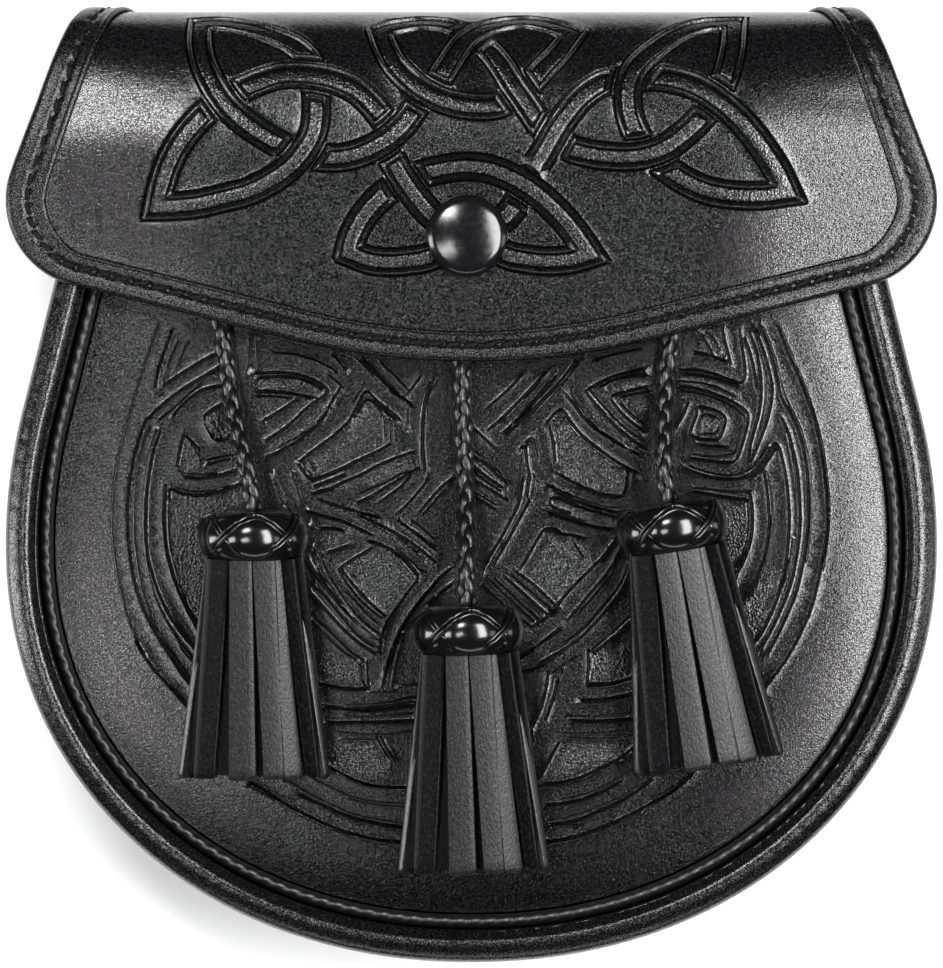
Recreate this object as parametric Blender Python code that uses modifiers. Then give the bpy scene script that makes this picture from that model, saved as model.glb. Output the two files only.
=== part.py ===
"""A leather sporran pouch that lies on its back, with its front facing up.

X is its width, Y its height as worn and Z its depth, from the floor at Z = 0 to the front. The
origin is on the floor under the middle of the pouch. Lengths below are in millimetres, and the
functions that make Blender's objects turn them to metres.
"""

import math

import bmesh
import bpy
from mathutils import Vector

MM = 0.001
GAP = 0.3  # between pieces that touch on the real pouch

# The body's outline seen from the front: a round bottom, then straight sides that lean inwards.
BODY_HALF = 93.3
WIDEST_Y = -12.0
BOTTOM_DEPTH = 83.8
BOTTOM_POWER = 2.1  # a superellipse, a little fuller than an ellipse
SHOULDER_RADIUS = 109.0
SIDE_SLOPE = 0.25
BODY_TOP = 73.0
BOTTOM_STEPS = 14
SHOULDER_STEPS = 2

# Depths of the body's pieces, from the back to the front.
WELT_HIGH = 2.7
BACK_LOW, BACK_HIGH = 3.0, 5.2
BACK_TOP = 76.0
BACK_INSET = 0.8
GUSSET_LOW, GUSSET_HIGH = 5.5, 30.9
GUSSET_WALL = 2.0
RIM_LOW = 31.2
PANEL_TOP = 62.0
PANEL_INSET = 9.9
PANEL_EDGE_Z, PANEL_Z = 31.8, 33.6
PANEL_WALL = 2.4

# Cross-sections as (inset from the outline, height), in order round the section.
BACK_WELT = ((0.3, 1.2), (1.4, 0.0), (4.6, 0.0), (5.1, WELT_HIGH), (0.5, WELT_HIGH))
GUSSET_BOW = ((2.4, GUSSET_LOW), (1.4, 13.5), (1.4, 23.0), (2.4, GUSSET_HIGH))
FRONT_RIM = (
    (0.9, RIM_LOW),
    (0.0, 33.2),
    (0.5, 35.6),
    (1.9, 37.1),
    (3.6, 37.6),
    (5.3, 37.1),
    (6.4, 36.0),
    (6.6, RIM_LOW),
)
RIM_WELT = ((6.9, 32.0), (6.9, 34.2), (7.5, 35.0), (8.4, 35.3), (9.2, 34.7), (9.6, 33.4), (9.4, 32.0))

# The flap is one flat piece of leather, p across and q up from the snap, bent over the top.
FLAP_Z = 42.4
FLAP_WALL = 2.4
FLAP_DATUM_Y = 49.5  # q = 0, the height of the snap
ROLL_RADIUS = 17.8
ROLL_Y, ROLL_Z = 77.2, FLAP_Z - ROLL_RADIUS
ROLL_STEPS = 10
TONGUE = 22.0
FLAP_LOWEST = -25.1
FLAP_BOTTOM_RADIUS = 153.0
FLAP_BOTTOM_SLOPE = 0.252
FLAP_CORNER_RADIUS = 17.5
FLAP_SIDE_SLOPE = 0.35
FLAP_HALF_AT_TOP = 77.2  # half its width at the highest line of the roll
CROWN_START, CROWN_END, CROWN_DROP = 66.0, 93.0, 3.0

# The binding is a strip folded round the flap's edge.
BINDING_WALL = 0.9
BINDING_BOTTOM_WIDTH, BINDING_SIDE_WIDTH = 6.0, 8.0
BINDING_TAIL = 4.0  # how far it goes on down the back
FLAP_INSET = 1.3

SNAP_X = -0.9
SNAP_RADIUS = 8.25
SNAP_SHANK, SNAP_HOLE = 2.3, 2.7

# Each belt loop is a strap that runs along Y under the back: (y, height of its middle).
LOOP_X, LOOP_WIDTH, LOOP_WALL = 48.0, 17.0, 1.6
LOOP_ROUTE = ((26.0, 1.9), (33.0, 1.9), (37.0, 1.05), (53.0, 1.05), (57.0, 1.9), (64.0, 1.9))

# The cords and tassels that hang in front, as they lie on the panel.
CORD_RADIUS = 2.2
CORD_SPACING = 5.8
TAB = (8.0, 7.0, 4.4)
TASSEL_DIP = math.radians(8.0)
CAP_Z = 45.7
CAP_HALF = 5.2
CAP_PROFILE = (
    (0.0, CAP_HALF),
    (6.6, CAP_HALF),
    (8.8, 4.7),
    (10.1, 3.2),
    (10.5, 0.0),
    (10.1, -3.2),
    (9.2, -4.7),
    (8.2, -CAP_HALF),
    (0.0, -CAP_HALF),
)
CAP_SIDES = 15
BAND_LOOPS = 5  # eyes that the interlaced band leaves round the cap
BAND_REACH = 3.3
BAND_RADIUS = 0.85
BAND_POINTS = 40
BAND_TURN = math.radians(22.0)  # brings one eye to the front
BOSS_SEAT = 9.2  # how far the bosses' centres are from the cap's axis
BOSS_HALF = (2.1, 4.3, 3.0)  # out of the cap, round it and along its axis
SKIRT_LENGTH = 43.4
HEAD_LENGTH = 6.0
HEAD_SIDES = 12
HEAD_HALF_WIDTH, HEAD_HALF_DEPTH = 8.9, 6.8
HEM_HALF_WIDTH, HEM_HALF_DEPTH = 12.2, 3.4
STRIPS = 10
STRIP_TOP, STRIP_HEM, STRIP_WALL = 5.4, 6.8, 1.7
STRIP_STAGGER = 0.5
STRIP_SUNK = 1.6  # how far a strip's upper end reaches up inside the head
UNEVEN_HEM = 1.0

# Each tassel: the cap's centre (x, y), its heading in degrees, and the route of its cord.
TASSELS = {
    "left": (
        (-43.5, -10.6),
        0.0,
        (
            (-51.6, 43.4, 36.0),
            (-50.7, 36.5, 36.0),
            (-49.8, 29.8, 36.0),
            (-48.7, 22.6, 36.0),
            (-48.3, 19.3, 36.6),
            (-47.8, 16.1, 37.9),
            (-47.1, 12.8, 39.9),
            (-46.1, 8.8, 42.5),
            (-45.0, 4.6, 45.2),
            (-44.2, 1.3, 46.5),
            (-43.6, -2.2, 46.9),
            (-43.5, -5.15, 46.5),
        ),
    ),
    "middle": (
        (-0.7, -29.4),
        1.3,
        (
            (-2.6, 36.1, 36.0),
            (-2.2, 29.3, 36.0),
            (-1.85, 22.5, 36.0),
            (-1.65, 16.0, 36.0),
            (-1.5, 10.0, 36.0),
            (-1.35, 3.8, 36.0),
            (-1.25, 0.5, 36.6),
            (-1.2, -2.7, 37.9),
            (-1.1, -6.0, 39.9),
            (-1.05, -10.0, 42.5),
            (-1.0, -14.2, 45.2),
            (-0.95, -17.5, 46.5),
            (-0.9, -21.0, 46.9),
            (-0.82, -23.95, 46.5),
        ),
    ),
    "right": (
        (40.1, -8.8),
        8.7,
        (
            (41.6, 40.2, 36.0),
            (40.7, 34.5, 36.0),
            (40.0, 29.0, 36.0),
            (39.4, 24.3, 36.0),
            (39.0, 21.0, 36.6),
            (38.65, 17.8, 37.9),
            (38.4, 14.5, 39.9),
            (38.3, 10.5, 42.5),
            (38.3, 6.3, 45.2),
            (38.5, 3.0, 46.5),
            (38.83, -0.5, 46.9),
            (39.28, -3.42, 46.5),
        ),
    ),
}

LEATHER = ((0.012, 0.012, 0.013), 0.45, 0.0)
TASSEL_LEATHER = ((0.022, 0.022, 0.023), 0.5, 0.0)
ENAMEL = ((0.006, 0.006, 0.007), 0.12, 0.0)
CORD = ((0.010, 0.010, 0.011), 0.6, 0.0)
SNAP_METAL = ((0.008, 0.008, 0.009), 0.2, 0.6)


# Blender's objects


def clear_scene():
    for obj in list(bpy.data.objects):
        bpy.data.objects.remove(obj, do_unlink=True)


def collection_named(name):
    collection = bpy.data.collections.new(name)
    bpy.context.scene.collection.children.link(collection)
    return collection


def metres(point):
    return Vector(point) * MM


def material_named(name, look):
    colour, roughness, metallic = look
    material = bpy.data.materials.new(name)
    material.use_nodes = True
    surface = material.node_tree.nodes["Principled BSDF"]
    surface.inputs["Base Color"].default_value = (*colour, 1.0)
    surface.inputs["Roughness"].default_value = roughness
    surface.inputs["Metallic"].default_value = metallic
    return material


def add_object(name, data, look, collection=None):
    """Links a new object with a material of its own, in the pouch's collection unless another is given."""
    obj = bpy.data.objects.new(name, data)
    if not data.materials:
        data.materials.append(material_named(name, look))
    (collection or POUCH).objects.link(obj)
    return obj


def helper(obj):
    """Makes an object a cutter or a guide, which isn't a piece of the pouch."""
    for owner in list(obj.users_collection):
        owner.objects.unlink(obj)
    CUTTERS.objects.link(obj)
    obj.hide_render = True
    obj.display_type = "WIRE"
    return obj


def mesh_from(bm, name, smooth_angle=math.radians(35)):
    mesh = bpy.data.meshes.new(name)
    bm.to_mesh(mesh)
    bm.free()
    mesh.shade_smooth()
    mesh.set_sharp_from_angle(angle=smooth_angle)
    return mesh


def lofted(name, rings):
    """A closed mesh through rings of points that have equal counts, with a flat face on both ends."""
    bm = bmesh.new()
    loops = [[bm.verts.new(metres(point)) for point in ring] for ring in rings]
    for low, high in zip(loops, loops[1:]):
        for i in range(len(low)):
            j = (i + 1) % len(low)
            bm.faces.new((low[i], low[j], high[j], high[i]))
    bm.faces.new(loops[0])
    bm.faces.new(loops[-1])
    bmesh.ops.recalc_face_normals(bm, faces=bm.faces)
    return mesh_from(bm, name)


def turned(name, profile, sides, collection=None, look=LEATHER):
    """A solid of revolution about Z, from (radius, height) points that run from the top down."""
    bm = bmesh.new()
    verts = [bm.verts.new(metres((radius, 0.0, height))) for radius, height in profile]
    for upper, lower in zip(verts, verts[1:]):
        bm.edges.new((upper, lower))
    obj = add_object(name, mesh_from(bm, name), look, collection)
    screw = obj.modifiers.new("turn", "SCREW")
    screw.steps = screw.render_steps = sides
    screw.use_merge_vertices = True
    screw.merge_threshold = 0.00001
    screw.use_smooth_shade = True
    return obj


def evaluated_mesh(obj, name):
    """The mesh that an object's modifiers or bevel give it, with its doubled points merged."""
    graph = bpy.context.evaluated_depsgraph_get()
    mesh = bpy.data.meshes.new_from_object(obj.evaluated_get(graph))
    mesh.name = name
    bm = bmesh.new()
    bm.from_mesh(mesh)
    bmesh.ops.remove_doubles(bm, verts=bm.verts, dist=0.000001)
    bm.to_mesh(mesh)
    bm.free()
    return mesh


def add_boolean(obj, other, operation, solver="EXACT"):
    boolean = obj.modifiers.new(operation.lower(), "BOOLEAN")
    boolean.operation = operation
    boolean.object = other
    boolean.solver = solver
    boolean.use_self = operation == "UNION"


# The body's outline


def right_side(top):
    """Points of the right half of the body's outline, from the bottom's middle up to Y = top."""
    power = 2.0 / BOTTOM_POWER
    points = []
    for i in range(BOTTOM_STEPS):
        turn = math.pi / 2 * i / BOTTOM_STEPS
        x = BODY_HALF * math.sin(turn) ** power
        points.append((x, WIDEST_Y - BOTTOM_DEPTH * math.cos(turn) ** power))
    lean = math.atan(SIDE_SLOPE)
    for i in range(SHOULDER_STEPS + 1):
        turn = lean * i / SHOULDER_STEPS
        x = BODY_HALF - SHOULDER_RADIUS * (1 - math.cos(turn))
        points.append((x, WIDEST_Y + SHOULDER_RADIUS * math.sin(turn)))
    x, y = points[-1]
    points.append((x - SIDE_SLOPE * (top - y) / 2, (y + top) / 2))
    points.append((x - SIDE_SLOPE * (top - y), top))
    return points


def body_stations(top):
    """(point, inward normal) pairs from the left top end round the bottom to the right top end."""
    right = right_side(top)
    points = [(-x, y) for x, y in reversed(right[1:])] + right
    stations = []
    for i, point in enumerate(points):
        before, after = points[max(i - 1, 0)], points[min(i + 1, len(points) - 1)]
        along = Vector(after) - Vector(before)
        stations.append((Vector(point), Vector((-along.y, along.x)).normalized()))
    return stations


def body_sweep(name, section, top=BODY_TOP):
    """Sweeps a section of (inset, height) points round the body's outline."""
    rings = []
    for point, inward in body_stations(top):
        rings.append([(*(point + inward * inset), height) for inset, height in section])
    return lofted(name, rings)


def inset_outline(inset, top):
    """The body's outline moved inwards and cut straight across at Y = top, as a closed loop."""
    loop = [point + inward * inset for point, inward in body_stations(top + inset)]
    while loop[1].y > top:
        loop = loop[1:-1]
    share = (top - loop[1].y) / (loop[0].y - loop[1].y)
    corner = loop[1].lerp(loop[0], share)
    return [corner, *loop[1:-1], Vector((-corner.x, corner.y))]


# The body's pieces


def back_panel():
    curve = bpy.data.curves.new("back_panel", "CURVE")
    curve.dimensions = "2D"
    curve.fill_mode = "BOTH"
    curve.extrude = (BACK_HIGH - BACK_LOW) / 2 * MM
    outline = inset_outline(BACK_INSET, BACK_TOP)
    spline = curve.splines.new("POLY")
    spline.points.add(len(outline) - 1)
    for point, place in zip(spline.points, outline):
        point.co = (*metres((place.x, place.y, 0.0)), 1.0)
    spline.use_cyclic_u = True
    panel = add_object("back_panel", curve, LEATHER)
    panel.location.z = (BACK_LOW + BACK_HIGH) / 2 * MM


def back_welt():
    add_object("back_welt", body_sweep("back_welt", BACK_WELT), LEATHER)


def gusset():
    inner = [(inset + GUSSET_WALL, height) for inset, height in reversed(GUSSET_BOW)]
    add_object("gusset", body_sweep("gusset", (*GUSSET_BOW, *inner)), LEATHER)


def front_rim():
    add_object("front_rim", body_sweep("front_rim", FRONT_RIM), LEATHER)
    add_object("rim_welt", body_sweep("rim_welt", RIM_WELT), LEATHER)


def front_panel():
    """A dished sheet: rings of the outline drawn in towards the middle, and given its wall by Solidify."""
    outline = inset_outline(PANEL_INSET, PANEL_TOP)
    middle = Vector((0.0, WIDEST_Y))
    rise = PANEL_Z - PANEL_EDGE_Z
    bm = bmesh.new()
    loops = []
    for share, lift in ((1.0, 0.0), (0.93, 0.55), (0.84, 0.86), (0.7, 1.0), (0.4, 1.0)):
        loop = []
        for place in outline:
            spot = middle.lerp(place, share)
            loop.append(bm.verts.new(metres((spot.x, spot.y, PANEL_EDGE_Z + rise * lift))))
        loops.append(loop)
    for outer, inner in zip(loops, loops[1:]):
        for i in range(len(outer)):
            j = (i + 1) % len(outer)
            bm.faces.new((outer[i], outer[j], inner[j], inner[i]))
    bm.faces.new(loops[-1])
    panel = add_object("front_panel", mesh_from(bm, "front_panel"), LEATHER)
    wall = panel.modifiers.new("wall", "SOLIDIFY")
    wall.thickness = PANEL_WALL * MM
    wall.offset = -1.0
    wall.use_even_offset = True


def belt_loop(name, x):
    rings = []
    for y, height in LOOP_ROUTE:
        low, high = height - LOOP_WALL / 2, height + LOOP_WALL / 2
        left, right = x - LOOP_WIDTH / 2, x + LOOP_WIDTH / 2
        rings.append(((left, y, low), (right, y, low), (right, y, high), (left, y, high)))
    add_object(name, lofted(name, rings), LEATHER)


# The flap

ROLL_START = ROLL_Y - FLAP_DATUM_Y
ROLL_END = ROLL_START + math.pi * ROLL_RADIUS
FLAP_END = ROLL_END + TONGUE


def crown(p, q):
    """How far the flap's front bends down towards its side edges; the bend fades out over the roll."""
    reach = max(abs(p) - CROWN_START, 0.0) / (CROWN_END - CROWN_START)
    fade = min(max((ROLL_START + ROLL_RADIUS - q) / ROLL_RADIUS, 0.0), 1.0)
    return CROWN_DROP * reach**2 * fade


def flap_point(p, q, over=0.0):
    """The place of a point of the flat flap once the flap is bent, this far over its outer face."""
    lift = over - crown(p, q)
    if q <= ROLL_START:
        return (p, FLAP_DATUM_Y + q, FLAP_Z + lift)
    if q >= ROLL_END:
        return (p, ROLL_Y - (q - ROLL_END), ROLL_Z - ROLL_RADIUS - lift)
    turn = (q - ROLL_START) / ROLL_RADIUS
    radius = ROLL_RADIUS + lift
    return (p, ROLL_Y + radius * math.sin(turn), ROLL_Z + radius * math.cos(turn))


def flap_half_width(q):
    return FLAP_HALF_AT_TOP + FLAP_SIDE_SLOPE * (ROLL_START + math.pi / 2 * ROLL_RADIUS - q)


def flap_lower_edge(inset=0.0):
    """The right half of the flat flap's lower edge, from the middle round the corner to the side."""
    slope = math.atan(FLAP_BOTTOM_SLOPE)
    side = math.atan(FLAP_SIDE_SLOPE) + math.pi / 2
    bottom = Vector((0.0, FLAP_LOWEST + FLAP_BOTTOM_RADIUS))
    start = bottom + FLAP_BOTTOM_RADIUS * Vector((math.sin(slope), -math.cos(slope)))
    # The corner lies where the sloping lower edge would meet the straight side edge.
    run = (flap_half_width(start.y) - start.x) / (1 + FLAP_SIDE_SLOPE * FLAP_BOTTOM_SLOPE)
    corner = start + Vector((run, run * FLAP_BOTTOM_SLOPE))
    cut = FLAP_CORNER_RADIUS * math.tan((side - slope) / 2)
    first = corner - cut * Vector((math.cos(slope), math.sin(slope)))
    round_middle = first + FLAP_CORNER_RADIUS * Vector((-math.sin(slope), math.cos(slope)))
    edge = []
    for i in range(5):
        turn = slope * i / 4
        edge.append(bottom + (FLAP_BOTTOM_RADIUS - inset) * Vector((math.sin(turn), -math.cos(turn))))
    inwards = inset * Vector((-math.sin(slope), math.cos(slope)))
    for i in (1, 2):
        edge.append(start.lerp(first, i / 3) + inwards)
    for i in range(8):
        turn = slope + (side - slope) * i / 7
        out = Vector((math.sin(turn), -math.cos(turn)))
        edge.append(round_middle + (FLAP_CORNER_RADIUS - inset) * out)
    return edge


def flap():
    """Half of the sheet is laid out in rows, bent and mirrored; Solidify gives it its wall."""
    lower = flap_lower_edge(FLAP_INSET)
    side_inset = FLAP_INSET * math.hypot(1.0, FLAP_SIDE_SLOPE)
    lengths = [0.0]
    for before, after in zip(lower, lower[1:]):
        lengths.append(lengths[-1] + (after - before).length)
    shares = [length / lengths[-1] for length in lengths]
    rows = []
    for share in (0.0, 0.2, 0.45, 0.7, 1.0):
        half = flap_half_width(ROLL_START) - side_inset
        rows.append([edge.lerp(Vector((half * u, ROLL_START)), share) for edge, u in zip(lower, shares)])
    roll = [ROLL_START + math.pi * ROLL_RADIUS * i / ROLL_STEPS for i in range(1, ROLL_STEPS + 1)]
    for q in (*roll, FLAP_END):
        half = flap_half_width(q) - side_inset
        rows.append([Vector((half * u, q)) for u in shares])
    bm = bmesh.new()
    grid = [[bm.verts.new(metres(flap_point(spot.x, spot.y))) for spot in row] for row in rows]
    for low, high in zip(grid, grid[1:]):
        for i in range(len(low) - 1):
            bm.faces.new((low[i], low[i + 1], high[i + 1], high[i]))
    sheet = add_object("flap", mesh_from(bm, "flap"), LEATHER)
    mirror = sheet.modifiers.new("mirror", "MIRROR")
    mirror.merge_threshold = 0.00001
    wall = sheet.modifiers.new("wall", "SOLIDIFY")
    wall.thickness = FLAP_WALL * MM
    wall.offset = -1.0
    wall.use_even_offset = True
    bpy.ops.mesh.primitive_cylinder_add(
        vertices=16,
        radius=SNAP_HOLE * MM,
        depth=4 * FLAP_WALL * MM,
        location=metres((SNAP_X, FLAP_DATUM_Y, FLAP_Z - FLAP_WALL / 2)),
    )
    hole = helper(bpy.context.object)
    hole.name = "snap_hole"
    add_boolean(sheet, hole, "DIFFERENCE")


def flap_binding():
    """Sweeps the folded strip's section along the flap's edge, from one side of the back to the other."""
    lower = flap_lower_edge()
    spots = list(lower)
    sides = [ROLL_START + math.pi * ROLL_RADIUS * i / ROLL_STEPS for i in range(ROLL_STEPS + 1)]
    for q in (*sides, ROLL_END + BINDING_TAIL):
        spots.append(Vector((flap_half_width(q), q)))
    spots = [Vector((-spot.x, spot.y)) for spot in reversed(spots[1:])] + spots
    outer, inner = GAP + BINDING_WALL, GAP
    rings = []
    for i, spot in enumerate(spots):
        before, after = spots[max(i - 1, 0)], spots[min(i + 1, len(spots) - 1)]
        along = after - before
        inward = Vector((-along.y, along.x)).normalized()
        upright = min(abs(inward.x) * 1.2, 1.0)
        if spot.y >= ROLL_START:
            # Over the roll the section runs straight across, in line with the flap's own rows.
            inward /= abs(inward.x)
            inward.y = 0.0
        width = BINDING_BOTTOM_WIDTH + (BINDING_SIDE_WIDTH - BINDING_BOTTOM_WIDTH) * upright
        edge_inner = FLAP_INSET - GAP
        section = (
            (width, inner),
            (width, outer),
            (edge_inner, outer),
            (0.0, 0.0),
            (0.0, -FLAP_WALL),
            (edge_inner, -FLAP_WALL - outer),
            (width, -FLAP_WALL - outer),
            (width, -FLAP_WALL - inner),
            (edge_inner, -FLAP_WALL - inner),
            (edge_inner, inner),
        )
        ring = []
        for inset, over in section:
            place = spot + inward * inset
            ring.append(flap_point(place.x, place.y, over))
        rings.append(ring)
    add_object("flap_binding", lofted("flap_binding", rings), LEATHER)


# The snap


def snap():
    """The cap is riveted through the flap and ends in the socket's flange; the post is on the panel."""
    base = FLAP_Z + GAP
    under = FLAP_Z - FLAP_WALL - GAP
    dome = [(0.0, base + 4.8)]
    for degrees in (18, 36, 54, 72):
        turn = math.radians(degrees)
        dome.append((SNAP_RADIUS * math.sin(turn), base + 1.0 + 3.8 * math.cos(turn)))
    dome += [(SNAP_RADIUS, base + 0.9), (SNAP_RADIUS - 0.5, base), (SNAP_SHANK, base), (SNAP_SHANK, under)]
    dome += [(5.5, under), (5.5, under - 1.4), (0.0, under - 1.4)]
    cap = turned("snap_cap", dome, 18, look=SNAP_METAL)
    foot = PANEL_Z + GAP
    head = under - 1.4 - GAP
    profile = ((0.0, head), (2.6, head), (2.6, foot + 1.0), (5.0, foot + 1.0), (5.0, foot), (0.0, foot))
    post = turned("snap_post", profile, 12, look=SNAP_METAL)
    for piece in (cap, post):
        piece.location = metres((SNAP_X, FLAP_DATUM_Y, 0.0))


# The tassels


def cap_mesh():
    """The cap's turned body with the cast band, one strand that goes round twice, and a boss in each eye."""
    body = turned("cap_body", CAP_PROFILE, CAP_SIDES, CUTTERS, ENAMEL)
    curve = bpy.data.curves.new("cap_band", "CURVE")
    curve.dimensions = "3D"
    curve.bevel_depth = BAND_RADIUS * MM
    curve.bevel_resolution = 0
    spline = curve.splines.new("POLY")
    spline.points.add(BAND_POINTS - 1)
    spline.use_cyclic_u = True
    for i, point in enumerate(spline.points):
        around = 4 * math.pi * i / BAND_POINTS
        wave = BAND_LOOPS / 2 * around
        radius = CAP_PROFILE[4][0] + 0.1 + 0.25 * math.cos(wave)
        turn = around + BAND_TURN
        place = (radius * math.cos(turn), radius * math.sin(turn), BAND_REACH * math.sin(wave))
        point.co = (*metres(place), 1.0)
    guide = add_object("cap_band_route", curve, ENAMEL, CUTTERS)
    band = helper(add_object("cap_band", evaluated_mesh(guide, "cap_band"), ENAMEL, CUTTERS))
    bpy.data.objects.remove(guide)
    bosses = [cap_boss(math.pi * (2 * eye + 1) / BAND_LOOPS + BAND_TURN) for eye in range(BAND_LOOPS)]
    for raised in (band, *bosses):
        add_boolean(body, raised, "UNION")
    mesh = evaluated_mesh(body, "tassel_cap")
    mesh.set_sharp_from_angle(angle=math.radians(50))
    for obj in (body, band, *bosses):
        bpy.data.objects.remove(obj)
    return mesh


def cap_boss(turn):
    """The low oval boss in one eye of the band, at this angle round the cap."""
    bpy.ops.mesh.primitive_ico_sphere_add(
        subdivisions=2,
        radius=1.0,
        scale=metres(BOSS_HALF),
        location=metres((BOSS_SEAT * math.cos(turn), BOSS_SEAT * math.sin(turn), 0.0)),
        rotation=(0.0, 0.0, turn),
    )
    boss = helper(bpy.context.object)
    boss.name = "cap_boss"
    return boss


def strip_rings(number):
    """Sections of one leather strip, from inside the head down to the hem."""
    around = 2 * math.pi * (number + 0.5) / STRIPS
    shift = STRIP_STAGGER if number % 2 else -STRIP_STAGGER
    uneven = UNEVEN_HEM * (number * 3 % STRIPS) / STRIPS
    start = -CAP_HALF - GAP - STRIP_SUNK - uneven
    rings = []
    for share in (0.0, 0.5, 1.0):
        half_width = HEAD_HALF_WIDTH + (HEM_HALF_WIDTH - HEAD_HALF_WIDTH) * share
        half_depth = HEAD_HALF_DEPTH + (HEM_HALF_DEPTH - HEAD_HALF_DEPTH) * share**0.8
        middle = Vector((half_width * math.cos(around), half_depth * math.sin(around)))
        along = Vector((-half_width * math.sin(around), half_depth * math.cos(around))).normalized()
        out = Vector((along.y, -along.x))
        reach = (STRIP_TOP + (STRIP_HEM - STRIP_TOP) * share) / 2
        middle += out * (shift * share - STRIP_WALL / 2)
        height = start - (SKIRT_LENGTH - uneven - STRIP_SUNK) * share
        ring = []
        for side, face in ((-1, -1), (1, -1), (1, 1), (-1, 1)):
            corner = middle + along * reach * side + out * STRIP_WALL / 2 * face
            ring.append((corner.x, corner.y, height))
        rings.append(ring)
    return rings


def skirt_mesh():
    """The strips, fused to a flat oval head that sits under the cap."""
    rings = []
    for depth, grow in ((0.0, 0.0), (HEAD_LENGTH, 0.4)):
        height = -CAP_HALF - GAP - depth
        ring = []
        for i in range(HEAD_SIDES):
            around = 2 * math.pi * i / HEAD_SIDES
            width, thick = HEAD_HALF_WIDTH + grow, HEAD_HALF_DEPTH - grow
            ring.append((width * math.cos(around), thick * math.sin(around), height))
        rings.append(ring)
    head = add_object("skirt_head", lofted("skirt_head", rings), TASSEL_LEATHER, CUTTERS)
    strips = []
    for number in range(STRIPS):
        mesh = lofted("skirt_strip", strip_rings(number))
        strips.append(helper(add_object("skirt_strip", mesh, TASSEL_LEATHER, CUTTERS)))
        # The strips' twisted sides meet at slight angles, which the exact solver loses.
        add_boolean(head, strips[-1], "UNION", solver="MANIFOLD")
    mesh = evaluated_mesh(head, "tassel_skirt")
    mesh.set_sharp_from_angle(angle=math.radians(35))
    for obj in (head, *strips):
        bpy.data.objects.remove(obj)
    return mesh


def smooth_route(points, spacing):
    """Points along a smooth curve through the given ones, about this far apart."""
    places = [Vector(point) for point in points]
    places = [2 * places[0] - places[1], *places, 2 * places[-1] - places[-2]]
    fine = []
    for a, b, c, d in zip(places, places[1:], places[2:], places[3:]):
        for i in range(20):
            t = i / 20
            bend = (2 * a - 5 * b + 4 * c - d) * t**2 + (3 * b - a - 3 * c + d) * t**3
            fine.append((2 * b + (c - a) * t + bend) / 2)
    fine.append(places[-2])
    total = sum((after - before).length for before, after in zip(fine, fine[1:]))
    count = round(total / spacing)
    route, walked = [fine[0]], 0.0
    for before, after in zip(fine, fine[1:]):
        walked += (after - before).length
        if walked >= total * len(route) / count - 1e-6:
            route.append(after)
    return route


def tassel_cord(name, points):
    curve = bpy.data.curves.new(name, "CURVE")
    curve.dimensions = "3D"
    curve.bevel_depth = CORD_RADIUS * MM
    curve.bevel_resolution = 2
    curve.use_fill_caps = True
    route = smooth_route(points, CORD_SPACING)
    spline = curve.splines.new("POLY")
    spline.points.add(len(route) - 1)
    for point, place in zip(spline.points, route):
        point.co = (*metres(place), 1.0)
    add_object(name, curve, CORD)


def cord_tab(name, points):
    """A plain block of leather that holds the cord's upper end; the cord's end meets its lower face."""
    end, after = Vector(points[0]), Vector(points[1])
    up = (end - after).normalized()
    width, length, height = TAB
    middle = end + up * (GAP + length / 2)
    bpy.ops.mesh.primitive_cube_add(size=1.0, location=metres((middle.x, middle.y, PANEL_Z + GAP + height / 2)))
    tab = bpy.context.object
    tab.scale = metres(TAB)
    bpy.ops.object.transform_apply(location=False, rotation=False, scale=True)
    tab.rotation_euler.z = math.atan2(-up.x, up.y)
    tab.name = tab.data.name = name
    tab.data.materials.append(material_named(name, LEATHER))
    bevel = tab.modifiers.new("edges", "BEVEL")
    bevel.width = 0.8 * MM
    bevel.segments = 1
    for owner in list(tab.users_collection):
        owner.objects.unlink(tab)
    POUCH.objects.link(tab)


def tassels():
    """Each cap and skirt is modelled along its own Z, and then laid on the panel."""
    cap, skirt = cap_mesh(), skirt_mesh()
    for side, (place, heading, route) in TASSELS.items():
        for part, mesh, look in (("cap", cap, ENAMEL), ("skirt", skirt, TASSEL_LEATHER)):
            name = f"tassel_{part}_{side}"
            piece = add_object(name, mesh.copy(), look)
            piece.data.materials.clear()
            piece.data.materials.append(material_named(name, look))
            piece.location = metres((*place, CAP_Z))
            piece.rotation_euler = (TASSEL_DIP - math.pi / 2, 0.0, math.radians(heading))
        tassel_cord(f"tassel_cord_{side}", route)
        cord_tab(f"cord_tab_{side}", route)


clear_scene()
POUCH = collection_named("sporran_pouch")
CUTTERS = collection_named("cutters")
back_welt()
back_panel()
belt_loop("belt_loop_left", -LOOP_X)
belt_loop("belt_loop_right", LOOP_X)
gusset()
front_rim()
front_panel()
flap()
flap_binding()
snap()
tassels()
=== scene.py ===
import math

import bmesh
import bpy
import numpy as np
from mathutils import Matrix, Vector
from mathutils.geometry import delaunay_2d_cdt


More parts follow.
